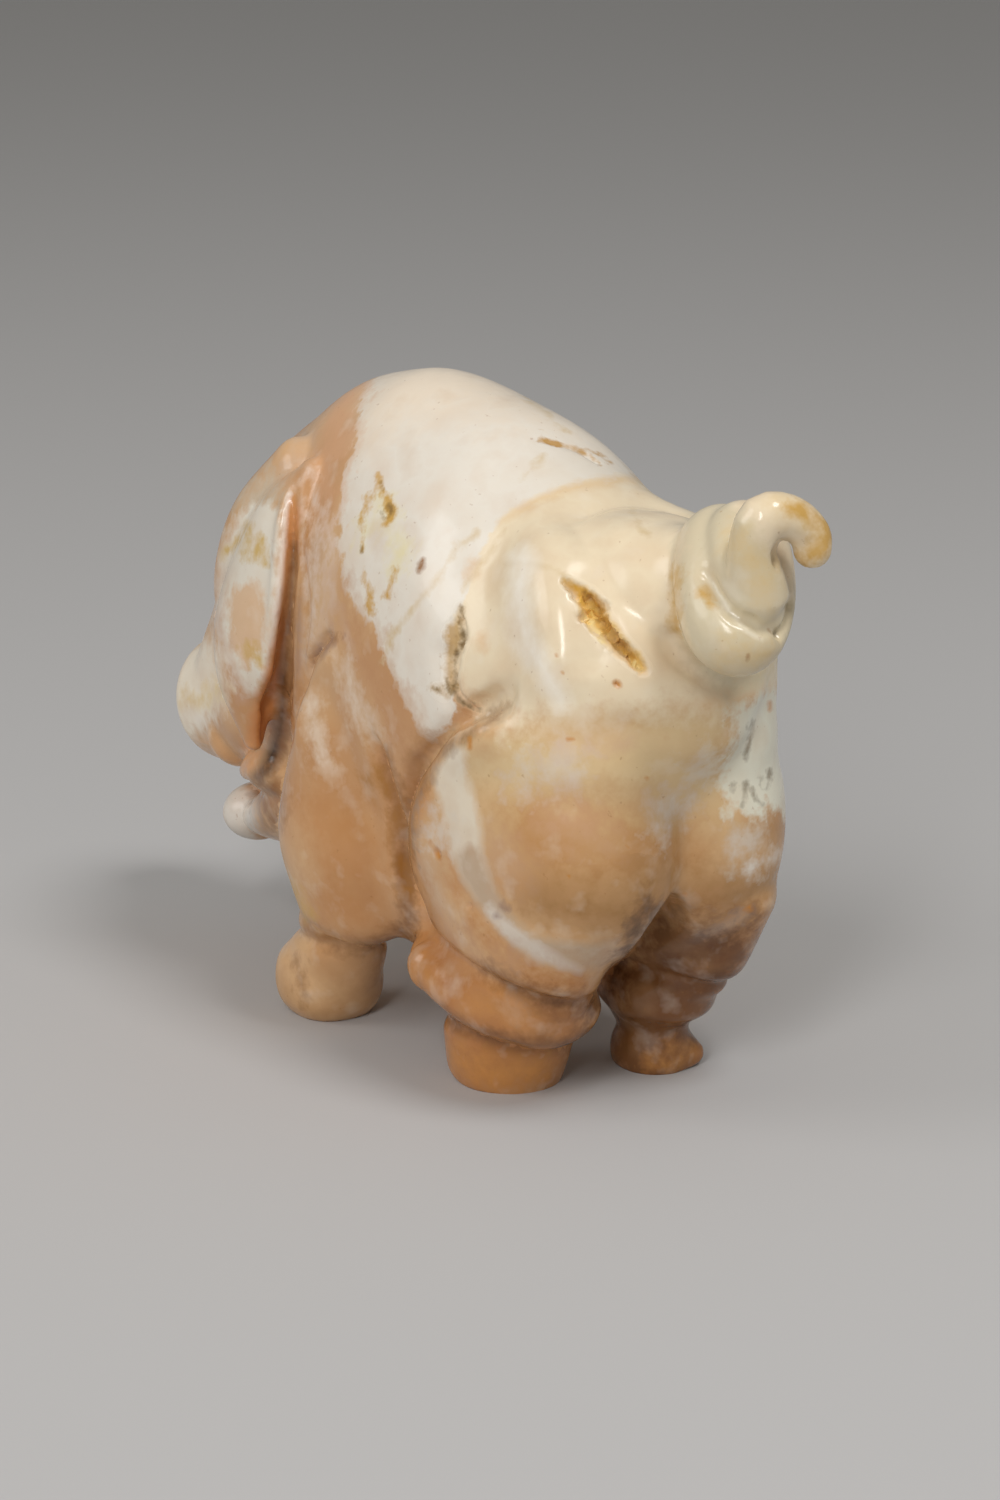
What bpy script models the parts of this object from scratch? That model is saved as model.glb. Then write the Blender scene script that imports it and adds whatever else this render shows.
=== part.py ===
"""A small standing pig carved in the round from one piece of banded marble.

The pig faces -Y, its left side is on +X, and it stands on z = 0. Its back is arched, its head hangs low with
the mouth a little open, its ears lie over its cheeks, its legs are fat and folded, and its tail stands off the
rump in a coil.
"""

import math

import bmesh
import bpy
import numpy as np
from mathutils import Matrix, Vector

# The whole carving follows the figure's height. Every place and size below is in steps of that height as drawn.
HEIGHT = 0.049
DRAWN_HEIGHT = 49.0
STEP = HEIGHT / DRAWN_HEIGHT

# How finely the surface is worked, in steps, and how many facets the finished solid keeps.
GRAIN = 0.45
FACETS = 9400

# The tail's coil: its turns, how far it rises with a turn, how flat it is, and how it leans, in degrees.
TAIL_TURNS = 1.5
TURN_ADVANCE = 2.6
TAIL_FLATNESS = 0.3
TAIL_LEAN_BACK = 38
TAIL_LEAN_RIGHT = 22

STONE_COLOUR = (0.66, 0.47, 0.32, 1.0)
STONE_ROUGHNESS = 0.18

LEFT, RIGHT = 1, -1


def through(stations, per_span):
    """A smooth run of rows through the given rows, with per_span rows for each span between neighbours."""
    rows = np.array(stations, float)
    padded = np.vstack([2 * rows[0] - rows[1], rows, 2 * rows[-1] - rows[-2]])
    run = []
    for before, start, end, after in zip(padded, padded[1:], padded[2:], padded[3:]):
        slope_in = (end - before) / 2
        slope_out = (after - start) / 2
        for t in np.arange(per_span) / per_span:
            from_start = start * (1 + 2 * t) + slope_in * t
            from_end = end * (3 - 2 * t) + slope_out * (t - 1)
            run.append(from_start * (1 - t) ** 2 + from_end * t**2)
    run.append(rows[-1])
    return np.array(run)


def loop_of_points(clay, centre, side, other, half_width, half_depth, around):
    loop = []
    for angle in np.arange(around) * 2 * math.pi / around:
        place = centre + side * (half_width * math.cos(angle)) + other * (half_depth * math.sin(angle))
        loop.append(clay.verts.new(place * STEP))
    return loop


def swept(clay, stations, across=(1, 0, 0), per_span=5, around=32, cap=1.0):
    """Adds a round-ended form to the clay. Each station is x, y, z, half width along across, and half depth."""
    rows = through(stations, per_span)
    centres = rows[:, :3]
    tangents = np.gradient(centres, axis=0)
    tangents /= np.linalg.norm(tangents, axis=1)[:, None]
    last = len(rows) - 1
    dome = np.radians((72, 54, 36, 18))
    rings = [(0, -turn) for turn in dome] + [(row, 0.0) for row in range(last + 1)]
    rings += [(last, turn) for turn in reversed(dome)]
    loops = []
    for row, turn in rings:
        tangent = Vector(tangents[row])
        side = Vector(across)
        side = (side - tangent * side.dot(tangent)).normalized()
        half_width, half_depth = rows[row, 3:5]
        centre = Vector(centres[row]) + tangent * (cap * min(half_width, half_depth) * math.sin(turn))
        sizes = (half_width * math.cos(turn), half_depth * math.cos(turn))
        loops.append(loop_of_points(clay, centre, side, tangent.cross(side), *sizes, around))
    for low, high in zip(loops, loops[1:]):
        for k in range(around):
            clay.faces.new((low[k], low[(k + 1) % around], high[(k + 1) % around], high[k]))
    for loop, row, way in ((loops[0], 0, -1), (loops[-1], last, 1)):
        reach = cap * min(rows[row, 3:5]) * way
        pole = clay.verts.new((Vector(centres[row]) + Vector(tangents[row]) * reach) * STEP)
        for k in range(around):
            pair = (loop[k], loop[(k + 1) % around])
            clay.faces.new((*pair, pole) if way > 0 else (*reversed(pair), pole))


def ball(clay, centre, radii, squareness=2.0):
    """Adds an ellipsoid to the clay. A squareness above 2 fills out its corners."""
    place = Matrix.Translation(Vector(centre) * STEP) @ Matrix.Diagonal((*(Vector(radii) * STEP), 1))
    for point in bmesh.ops.create_icosphere(clay, subdivisions=4, radius=1)["verts"]:
        spread = sum(abs(value) ** squareness for value in point.co) ** (1 / squareness)
        point.co = place @ (point.co / spread)


def stone_from(name, clay):
    mesh = bpy.data.meshes.new(name)
    clay.to_mesh(mesh)
    clay.free()
    stone = bpy.data.objects.new(name, mesh)
    bpy.context.scene.collection.objects.link(stone)
    return stone


def applied(stone):
    """Applies the object's modifiers to its mesh."""
    bpy.context.view_layer.update()
    graph = bpy.context.evaluated_depsgraph_get()
    mesh = bpy.data.meshes.new_from_object(stone.evaluated_get(graph))
    stone.modifiers.clear()
    old = stone.data
    stone.data = mesh
    bpy.data.meshes.remove(old)


def one_skin(stone):
    """Wraps everything in one closed, even surface."""
    remesh = stone.modifiers.new("one skin", "REMESH")
    remesh.mode = "VOXEL"
    remesh.voxel_size = GRAIN * STEP
    applied(stone)


def points_of(stone):
    points = np.empty(len(stone.data.vertices) * 3)
    stone.data.vertices.foreach_get("co", points)
    return points.reshape(-1, 3)


def set_points(stone, points):
    stone.data.vertices.foreach_set("co", points.ravel())
    stone.data.update()


def neighbour_means(points, edges):
    """For each point, the mean of the points that share an edge with it."""
    starts = np.concatenate([edges[:, 0], edges[:, 1]])
    ends = np.concatenate([edges[:, 1], edges[:, 0]])
    count = np.bincount(starts, minlength=len(points))
    sums = [np.bincount(starts, weights=points[ends, axis], minlength=len(points)) for axis in range(3)]
    return np.stack(sums, axis=1) / count[:, None]


def relaxed(stone, reach, weight_at=None):
    """Rubs the surface down, without shrinking it, so that hollows and edges narrower than reach grow round."""
    points = points_of(stone)
    edges = np.empty(len(stone.data.edges) * 2, np.int32)
    stone.data.edges.foreach_get("vertices", edges)
    edges = edges.reshape(-1, 2)
    weight = 1.0 if weight_at is None else weight_at(points / STEP)[:, None]
    inward, outward = 0.55, -0.52
    for _ in range(max(1, round((reach / GRAIN) ** 2))):
        for share in (inward, outward):
            points += share * weight * (neighbour_means(points, edges) - points)
    set_points(stone, points)


def laid_on(points, normals, run):
    """The run, with each point moved straight to the surface beside it."""
    laid = run.copy()
    for place in laid:
        nearest = np.argmin(((points - place) ** 2).sum(axis=1))
        place -= normals[nearest] * (normals[nearest] @ (place - points[nearest]))
    return laid


def carve(stone, path, width, depth, mirrored=False, closed=False):
    """Cuts a soft groove along a path on the surface, or raises a ridge where depth is negative."""
    points = points_of(stone)
    normals = np.empty(len(points) * 3)
    stone.data.vertex_normals.foreach_get("vector", normals)
    normals = normals.reshape(-1, 3)
    for side in (LEFT, RIGHT) if mirrored else (LEFT,):
        run = laid_on(points, normals, through(path, 4) * STEP * (side, 1, 1))
        nearest = np.full(len(points), np.inf)
        along = np.zeros(len(points))
        for k, (start, end) in enumerate(zip(run, run[1:])):
            span = end - start
            share = np.clip((points - start) @ span / (span @ span), 0, 1)
            gap = np.linalg.norm(points - start - share[:, None] * span, axis=1)
            along = np.where(gap < nearest, (k + share) / (len(run) - 1), along)
            nearest = np.minimum(gap, nearest)
        # An open stroke fades over the fifth of its length at each end.
        fade = 1.0 if closed else np.clip(np.minimum(along, 1 - along) * 5 + 0.15, 0, 1)
        cut = depth * fade * np.exp(-((nearest / (width * STEP)) ** 2))
        points -= normals * cut[:, None] * STEP
    set_points(stone, points)


def carve_ring(stone, centre, radii, width, depth):
    """Cuts a crease right round a limb."""
    ring = []
    for angle in np.linspace(0, 2 * math.pi, 17):
        ring.append((centre[0] + radii[0] * math.cos(angle), centre[1] + radii[1] * math.sin(angle), centre[2]))
    carve(stone, ring, width, depth, closed=True)


def add_trunk(clay):
    trunk = (
        (0, 25.0, 33.0, 7.0, 7.6),
        (0, 19.0, 30.8, 10.6, 13.3),
        (0, 12.0, 29.0, 12.4, 17.5),
        (0, 4.0, 28.3, 12.6, 19.9),
        (0, -4.0, 28.0, 11.8, 21.2),
        (0, -10.0, 28.0, 10.4, 20.0),
        (0, -15.0, 27.5, 9.0, 17.2),
        (0, -20.0, 26.5, 8.4, 14.8),
    )
    swept(clay, trunk, cap=0.5)
    head = (
        (0, -18.0, 28.0, 8.8, 13.5),
        (0, -22.4, 26.5, 7.4, 11.4),
        (0, -27.2, 23.2, 5.6, 7.9),
        (0, -32.0, 19.8, 4.8, 5.2),
    )
    swept(clay, head, cap=0.5)
    # The belly hangs low between the arms and the haunches.
    ball(clay, (0, 4.2, 17.0), (11.2, 7.6, 11.2), squareness=2.3)


def add_haunches(clay):
    """Three fat masses a side. The right side, as the stone has it, is a little slimmer."""
    for side, slimmer in ((LEFT, 0.0), (RIGHT, 0.8)):
        ball(clay, (side * 3.9, 16.3, 30.0), (7.4 - slimmer * 0.3, 11.0, 11.5), squareness=2.2)
        ball(clay, (side * (4.6 - slimmer), 15.8, 26.0), (7.7, 11.5, 8.0), squareness=2.2)
        ball(clay, (side * (5.0 - slimmer), 15.4, 20.0), (7.9, 12.2, 10.6), squareness=2.3)


def add_hind_legs(clay):
    """Each leg is a fat roll over a short foot. The right one stands farther back."""
    left_roll = (
        (7.1, 15.8, 16.0, 5.6, 10.4),
        (6.8, 15.2, 12.0, 5.2, 8.4),
        (6.3, 14.2, 9.0, 4.8, 7.0),
        (5.9, 13.6, 7.3, 4.6, 6.0),
    )
    right_roll = (
        (-6.0, 18.3, 16.0, 5.0, 8.8),
        (-5.6, 17.4, 11.0, 4.6, 7.0),
        (-5.0, 16.4, 8.0, 4.2, 5.4),
        (-4.9, 16.2, 5.6, 4.2, 4.8),
    )
    lower_roll = (
        (6.4, 8.4, 8.9, 4.6, 2.6),
        (6.6, 11.5, 8.4, 5.6, 3.0),
        (6.4, 15.5, 7.4, 5.4, 3.0),
        (6.0, 18.6, 6.8, 4.2, 2.5),
    )
    swept(clay, left_roll, cap=0.3)
    swept(clay, lower_roll)
    swept(clay, right_roll, cap=0.4)
    left_foot = ((5.3, 12.5, 6.6, 5.1, 5.6), (5.2, 12.0, 3.6, 4.7, 5.1), (5.2, 11.5, 0.5, 4.2, 4.4))
    swept(clay, left_foot, cap=0.35)
    right_foot = ((-5.0, 15.9, 5.5, 3.2, 3.6), (-5.1, 15.6, 2.6, 2.9, 3.2), (-5.3, 15.4, 0.5, 3.1, 3.4))
    swept(clay, right_foot, cap=0.35)
    ball(clay, (-6.9, 17.4, 0.9), (1.5, 1.4, 1.1))


def add_front_legs(clay):
    for side in (LEFT, RIGHT):
        arm = (
            (side * 10.4, -1.2, 28.0, 1.4, 2.4),
            (side * 10.4, -1.9, 24.0, 2.6, 4.2),
            (side * 10.1, -2.6, 19.0, 3.4, 5.8),
            (side * 9.9, -2.6, 15.0, 3.9, 6.7),
            (side * 9.2, -2.5, 10.6, 3.5, 6.1),
        )
        swept(clay, arm)
        swept(clay, ((side * 8.2, -4.6, 9.0, 3.4, 3.7), (side * 7.8, -7.2, 4.0, 3.5, 3.9)))
        ball(clay, (side * 7.8, -8.1, 2.7), (3.9, 4.1, 3.5), squareness=2.4)


def add_face(clay):
    """The ears over the cheeks, the blunt snout, and the lower jaw with its small round tip."""
    for side in (LEFT, RIGHT):
        ear = (
            (side * 7.8, -9.2, 41.5, 1.4, 1.0),
            (side * 9.2, -11.4, 37.0, 3.8, 1.7),
            (side * 10.1, -13.8, 30.0, 4.9, 2.0),
            (side * 10.1, -15.4, 25.0, 4.0, 1.8),
            (side * 9.6, -15.4, 20.0, 1.2, 0.9),
        )
        swept(clay, ear, across=(0, 1, 0))
        temple = (
            (side * 6.2, -13.5, 41.0, 2.6, 2.2),
            (side * 7.5, -17.0, 36.5, 3.0, 2.5),
            (side * 7.8, -19.2, 31.5, 3.2, 2.3),
            (side * 7.2, -20.6, 27.0, 2.6, 1.8),
        )
        swept(clay, temple, across=(0, 1, 0))
    snout = (
        (0, -20.0, 22.0, 6.8, 5.6),
        (0, -25.0, 19.6, 6.4, 5.4),
        (0, -30.0, 18.9, 5.3, 5.8),
        (0, -35.4, 17.9, 4.9, 5.2),
    )
    swept(clay, snout, cap=0.4)
    for side in (LEFT, RIGHT):
        ball(clay, (side * 2.4, -29.3, 16.6), (2.9, 2.9, 2.9))
    jaw = (
        (0, -13.0, 15.4, 7.0, 6.4),
        (0, -20.0, 12.8, 6.0, 4.4),
        (0, -25.0, 10.7, 4.6, 2.6),
        (0, -28.4, 9.6, 3.1, 1.9),
    )
    swept(clay, jaw, cap=0.6)
    ball(clay, (0, -30.9, 9.2), (3.1, 2.7, 2.4))
    for side in (LEFT, RIGHT):
        mouth_corner = (
            (side * 5.2, -17.5, 16.6, 2.4, 2.4),
            (side * 5.0, -20.8, 15.9, 2.2, 2.0),
            (side * 4.4, -23.6, 14.9, 1.6, 1.4),
        )
        swept(clay, mouth_corner)


def add_tail(clay):
    """The tail winds up and over to the left, seen from behind, narrows, and ends in a hook to the right."""
    swept(clay, ((0, 19.5, 35.5, 8.0, 7.0), (-0.2, 24.0, 36.6, 6.0, 5.9), (0.1, 28.2, 38.4, 3.0, 4.4)))
    lean_back, lean_right = math.radians(TAIL_LEAN_BACK), math.radians(TAIL_LEAN_RIGHT)
    root = Vector((0.2, 30.1, 38.5))
    axis = Vector((0, math.cos(lean_back), math.sin(lean_back)))
    ring_top = Vector((-math.tan(lean_right), -math.sin(lean_back), math.cos(lean_back))).normalized()
    coil = []
    for turns in np.linspace(0, TAIL_TURNS, 28):
        narrowing = min(max((turns - 0.7) / 0.6, 0.0), 1.0)
        radius = 3.75 - 1.55 * narrowing
        thick = 2.9 - 0.7 * narrowing
        angle = 2 * math.pi * turns
        out = Vector((math.sin(angle) * TAIL_FLATNESS, 0, 0)) + ring_top * math.cos(angle)
        centre = root + axis * (TURN_ADVANCE * turns) + out * radius
        coil.append((*centre, thick, thick))
    hook = (
        (1.7, 34.8, 42.4, 1.7, 1.7),
        (1.3, 35.3, 44.6, 1.7, 1.7),
        (-0.5, 35.9, 44.6, 1.5, 1.5),
        (-1.9, 36.3, 43.4, 1.35, 1.35),
        (-2.0, 36.4, 42.4, 1.3, 1.3),
    )
    swept(clay, [*coil, *hook], across=(0, 1, 0), per_span=2)


def cut_crotch(stone):
    """Opens the tunnel between the legs, which is narrow at the top behind."""
    clay = bmesh.new()
    tunnel = (
        (-0.2, -14.0, 2.0, 2.6, 6.0),
        (-0.2, 4.0, 1.0, 2.2, 4.8),
        (0.5, 19.0, 3.0, 1.6, 11.2),
        (0.9, 24.0, 4.2, 3.2, 12.0),
        (1.2, 31.0, 4.5, 5.5, 12.8),
    )
    swept(clay, tunnel)
    cutter = stone_from("tunnel_cutter", clay)
    cutter.display_type = "WIRE"
    cutter.hide_render = True
    cut = stone.modifiers.new("tunnel", "BOOLEAN")
    cut.operation = "DIFFERENCE"
    cut.solver = "EXACT"
    cut.object = cutter
    applied(stone)
    bpy.data.objects.remove(cutter)


def carve_hindquarters(stone):
    haunch_edge = (
        (10.2, 18.7, 30.3),
        (10.4, 16.9, 29.0),
        (11.0, 14.6, 27.6),
        (11.1, 12.2, 25.6),
        (11.0, 10.2, 23.4),
    )
    carve(stone, haunch_edge, 0.8, 1.0, mirrored=True)
    thigh_front = (
        (11.0, 11.0, 24.4),
        (11.0, 9.3, 21.2),
        (11.0, 8.0, 17.6),
        (11.0, 7.4, 14.1),
        (10.4, 8.0, 11.8),
    )
    carve(stone, thigh_front, 0.9, 1.4, mirrored=True)
    haunch_brow = (
        (10.3, 19.9, 29.2),
        (11.4, 18.0, 27.4),
        (12.2, 15.0, 25.2),
        (12.7, 12.4, 21.5),
        (12.4, 10.8, 17.0),
    )
    carve(stone, haunch_brow, 1.4, -0.7, mirrored=True)
    flank_fold = ((10.6, 15.8, 29.0), (10.4, 17.0, 29.4), (10.2, 18.7, 30.2), (9.8, 20.6, 30.8))
    carve(stone, flank_fold, 1.1, 0.8, mirrored=True)
    hip_crest = ((5.0, 14.2, 42.5), (6.0, 17.4, 41.4), (7.5, 20.3, 40.0), (9.3, 23.5, 35.3), (9.5, 23.6, 31.2))
    carve(stone, hip_crest, 2.2, -0.5, mirrored=True)
    hollow_before_hip = ((7.6, 11.6, 40.8), (9.9, 16.2, 37.1), (10.6, 19.3, 33.5), (10.6, 21.2, 31.5))
    carve(stone, hollow_before_hip, 2.8, 0.6, mirrored=True)
    hollow_behind_hip = (
        (6.3, 21.2, 40.0),
        (7.1, 22.9, 38.4),
        (7.6, 24.2, 36.6),
        (7.8, 25.0, 34.7),
        (7.9, 25.4, 32.7),
    )
    carve(stone, hollow_behind_hip, 1.7, 0.4, mirrored=True)
    rump_crest = ((1.7, 19.0, 41.9), (3.6, 22.8, 41.0), (4.6, 25.0, 39.0), (5.0, 26.2, 36.6), (4.8, 27.0, 34.0))
    carve(stone, rump_crest, 1.5, -0.3, mirrored=True)
    under_coil = (
        (3.4, 27.6, 36.5),
        (2.7, 27.9, 34.9),
        (1.3, 28.4, 32.9),
        (-1.0, 28.6, 31.7),
        (-4.5, 27.8, 31.3),
    )
    carve(stone, under_coil, 0.8, 0.8)
    under_tail = (
        (8.2, 25.6, 29.9),
        (5.4, 27.5, 29.5),
        (0.0, 28.9, 29.4),
        (-5.4, 27.5, 29.0),
        (-8.2, 25.6, 28.8),
    )
    carve(stone, under_tail, 1.2, 0.25)


def carve_shoulders(stone):
    arm_and_neck = (
        (11.5, -1.6, 31.0),
        (11.3, -3.6, 29.2),
        (11.3, -5.2, 27.0),
        (11.3, -6.2, 24.4),
        (11.3, -7.9, 18.6),
    )
    carve(stone, arm_and_neck, 0.8, 1.0, mirrored=True)
    arm_brow = ((12.4, 0.9, 30.4), (12.2, -1.8, 28.6), (12.1, -3.4, 26.0), (12.4, -4.0, 22.0))
    carve(stone, arm_brow, 0.9, -0.4, mirrored=True)
    arm_and_belly = (
        (12.2, 5.0, 25.5),
        (11.9, 5.8, 22.9),
        (11.5, 6.3, 19.5),
        (11.0, 6.6, 15.9),
        (10.0, 6.2, 12.4),
    )
    carve(stone, arm_and_belly, 0.8, 1.1, mirrored=True)
    behind_ear = (
        (9.9, -9.2, 40.2),
        (10.3, -8.7, 36.6),
        (10.5, -8.7, 32.7),
        (10.3, -9.8, 28.5),
        (9.6, -12.2, 23.6),
    )
    carve(stone, behind_ear, 0.8, 1.5, mirrored=True)
    under_ear = ((10.2, -10.2, 27.4), (9.6, -12.2, 23.6), (8.8, -14.0, 20.0), (7.4, -16.0, 17.0))
    carve(stone, under_ear, 1.2, 1.1, mirrored=True)
    ear_rim = (
        (9.8, -10.0, 40.2),
        (10.6, -9.6, 37.0),
        (11.0, -9.7, 33.0),
        (11.2, -10.6, 28.0),
        (10.7, -12.9, 23.2),
    )
    carve(stone, ear_rim, 0.6, -0.5, mirrored=True)
    ear_front_low = ((10.2, -19.7, 27.0), (10.0, -19.3, 24.5), (9.8, -17.9, 22.0), (9.4, -16.5, 20.0))
    carve(stone, ear_front_low, 0.7, 0.5, mirrored=True)


def carve_legs(stone):
    carve_ring(stone, (5.5, 12.6, 4.7), (4.9, 5.4), 0.7, 0.5)
    carve_ring(stone, (-5.1, 15.8, 3.0), (3.2, 3.6), 0.7, 0.4)
    left_crease = (
        (10.4, 8.0, 11.3),
        (11.3, 10.6, 11.1),
        (12.0, 14.0, 10.8),
        (12.0, 16.8, 10.2),
        (11.3, 19.5, 9.5),
        (9.4, 21.8, 8.8),
        (7.4, 22.4, 8.4),
        (4.6, 22.0, 8.2),
    )
    carve(stone, left_crease, 0.8, 0.8)
    carve_ring(stone, (-5.0, 16.4, 8.4), (4.3, 5.5), 0.8, 0.7)
    for side, x, y in ((LEFT, 5.2, 11.6), (RIGHT, -4.2, 15.0)):
        knee = ((x + side * 6.0, y - 3.6, 8.8), (x + side * 6.6, y - 1.6, 8.6))
        carve(stone, knee, 1.8, -0.5)
        carve_ring(stone, (side * 8.2, -4.6, 6.7), (3.6, 4.2), 0.7, 0.5)


def carve_face(stone):
    """Small low eyes and nostrils, and the corners of the mouth."""
    for side in (LEFT, RIGHT):
        eye = ((side * 6.7, -25.6, 27.4), (side * 6.9, -24.6, 27.8))
        carve(stone, eye, 1.5, 0.7)
        carve(stone, eye, 0.8, -0.8)
        nostril = ((side * 1.7, -37.2, 18.9), (side * 1.7, -36.8, 17.4))
        carve(stone, nostril, 0.8, 1.4)
    mouth = ((5.4, -20.5, 16.2), (4.4, -25.0, 13.6), (2.6, -28.6, 12.2))
    carve(stone, mouth, 0.8, 0.6, mirrored=True)


def flat_soles(stone):
    """Cuts the feet flat on the ground and sets the carving over its origin."""
    clay = bmesh.new()
    clay.from_mesh(stone.data)
    everything = clay.verts[:] + clay.edges[:] + clay.faces[:]
    down = (0, 0, -1)
    cut = bmesh.ops.bisect_plane(clay, geom=everything, plane_co=(0, 0, 0), plane_no=down, clear_outer=True)
    rims = [part for part in cut["geom_cut"] if isinstance(part, bmesh.types.BMEdge)]
    bmesh.ops.triangle_fill(clay, use_beauty=True, use_dissolve=True, edges=rims, normal=down)
    low = Vector([min(point.co[axis] for point in clay.verts) for axis in range(3)])
    high = Vector([max(point.co[axis] for point in clay.verts) for axis in range(3)])
    middle = (low + high) / 2
    bmesh.ops.translate(clay, verts=clay.verts, vec=(-middle.x, -middle.y, 0))
    bmesh.ops.triangulate(clay, faces=clay.faces)
    clay.to_mesh(stone.data)
    clay.free()


def polished(stone):
    """Smooth shading and the stone's plain colour."""
    stone.data.shade_smooth()
    stone.data.set_sharp_from_angle(angle=math.radians(50))
    marble = bpy.data.materials.new("banded_marble")
    marble.use_nodes = True
    shader = marble.node_tree.nodes["Principled BSDF"]
    shader.inputs["Base Color"].default_value = STONE_COLOUR
    shader.inputs["Roughness"].default_value = STONE_ROUGHNESS
    shader.inputs["Metallic"].default_value = 0.0
    stone.data.materials.clear()
    stone.data.materials.append(marble)


def main():
    for old in list(bpy.data.objects):
        bpy.data.objects.remove(old)

    # The big masses are rubbed into one another first, the hindquarters the most.
    clay = bmesh.new()
    add_trunk(clay)
    add_haunches(clay)
    masses = stone_from("masses", clay)
    one_skin(masses)
    relaxed(masses, 3.0, lambda places: np.where(places[:, 1] > 4, 1.0, 0.6))

    clay = bmesh.new()
    clay.from_mesh(masses.data)
    bpy.data.objects.remove(masses)
    add_hind_legs(clay)
    add_front_legs(clay)
    add_face(clay)
    add_tail(clay)
    pig = stone_from("pig_carving", clay)
    one_skin(pig)
    cut_crotch(pig)
    one_skin(pig)
    relaxed(pig, 1.0)

    carve_hindquarters(pig)
    carve_shoulders(pig)
    carve_legs(pig)
    carve_face(pig)
    one_skin(pig)
    relaxed(pig, 0.5)

    fewer = pig.modifiers.new("facets", "DECIMATE")
    fewer.ratio = min(1.0, FACETS / (2 * len(pig.data.polygons)))
    applied(pig)
    flat_soles(pig)
    polished(pig)


main()
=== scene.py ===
"""A small standing pig carved in the round from one piece of banded marble, as it looks when polished.

The pig faces -Y, its left side is on +X, and it stands on z = 0. The script follows the carver: the block is
roughed out, the limbs and the tail are brought up, the folds are cut, the stone's own faults open, and the
stone is polished.
"""

import math

import bmesh
import bpy
import numpy as np
from mathutils import Matrix, Vector
from mathutils.bvhtree import BVHTree
from mathutils.noise import turbulence


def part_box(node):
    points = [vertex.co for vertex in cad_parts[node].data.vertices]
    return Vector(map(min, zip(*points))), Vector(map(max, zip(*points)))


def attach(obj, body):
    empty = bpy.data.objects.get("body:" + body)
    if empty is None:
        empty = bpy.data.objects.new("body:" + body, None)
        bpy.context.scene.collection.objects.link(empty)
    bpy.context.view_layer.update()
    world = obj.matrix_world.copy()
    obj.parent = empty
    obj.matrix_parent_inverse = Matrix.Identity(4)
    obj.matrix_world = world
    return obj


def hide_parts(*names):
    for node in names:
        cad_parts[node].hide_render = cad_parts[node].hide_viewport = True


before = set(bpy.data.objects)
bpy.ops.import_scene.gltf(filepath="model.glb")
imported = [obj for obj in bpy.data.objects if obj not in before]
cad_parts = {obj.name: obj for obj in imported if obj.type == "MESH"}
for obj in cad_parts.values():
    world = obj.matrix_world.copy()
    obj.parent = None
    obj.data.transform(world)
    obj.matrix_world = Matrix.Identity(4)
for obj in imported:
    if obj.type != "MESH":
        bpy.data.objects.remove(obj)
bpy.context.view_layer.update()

# The rough block: trunk, head and haunches. In the real carving they are one lump of banded marble, sawn
# and ground round before any limb is cut free. Places and sizes are in steps of about 1 mm, set by the
# pig's length.
node_low, node_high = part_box("pig_carving")
LENGTH_IN_STEPS = 75.1
STEP = (node_high.y - node_low.y) / LENGTH_IN_STEPS
LEFT, RIGHT = 1, -1
ROUGH_GRAIN = 0.45
FINE_GRAIN = 0.24


def through(stations, per_span):
    """A smooth run of rows through the given rows, with per_span rows for each span between neighbours."""
    rows = np.array(stations, float)
    padded = np.vstack([2 * rows[0] - rows[1], rows, 2 * rows[-1] - rows[-2]])
    run = []
    for before, start, end, after in zip(padded, padded[1:], padded[2:], padded[3:]):
        slope_in = (end - before) / 2
        slope_out = (after - start) / 2
        for t in np.arange(per_span) / per_span:
            from_start = start * (1 + 2 * t) + slope_in * t
            from_end = end * (3 - 2 * t) + slope_out * (t - 1)
            run.append(from_start * (1 - t) ** 2 + from_end * t**2)
    run.append(rows[-1])
    return np.array(run)


def swept(clay, stations, across=(1, 0, 0), per_span=6, around=40, cap=1.0):
    """Adds a round-ended form to the clay. A station is x, y, z, half width along across, and half depth."""
    rows = through(stations, per_span)
    centres = rows[:, :3]
    tangents = np.gradient(centres, axis=0)
    tangents /= np.linalg.norm(tangents, axis=1)[:, None]
    last = len(rows) - 1
    dome = np.radians((75, 60, 45, 30, 15))
    rings = [(0, -turn) for turn in dome] + [(row, 0.0) for row in range(last + 1)]
    rings += [(last, turn) for turn in reversed(dome)]
    turns = np.arange(around) * 2 * math.pi / around
    loops = []
    for row, lean in rings:
        tangent = Vector(tangents[row])
        side = Vector(across)
        side = (side - tangent * side.dot(tangent)).normalized()
        other = tangent.cross(side)
        half_width, half_depth = rows[row, 3:5]
        centre = Vector(centres[row]) + tangent * (cap * min(half_width, half_depth) * math.sin(lean))
        loop = []
        for turn in turns:
            out = side * (half_width * math.cos(turn)) + other * (half_depth * math.sin(turn))
            loop.append(clay.verts.new((centre + out * math.cos(lean)) * STEP))
        loops.append(loop)
    for low, high in zip(loops, loops[1:]):
        for k in range(around):
            clay.faces.new((low[k], low[(k + 1) % around], high[(k + 1) % around], high[k]))
    for loop, row, way in ((loops[0], 0, -1), (loops[-1], last, 1)):
        reach = cap * min(rows[row, 3:5]) * way
        pole = clay.verts.new((Vector(centres[row]) + Vector(tangents[row]) * reach) * STEP)
        for k in range(around):
            pair = (loop[k], loop[(k + 1) % around])
            clay.faces.new((*pair, pole) if way > 0 else (*reversed(pair), pole))


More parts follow.
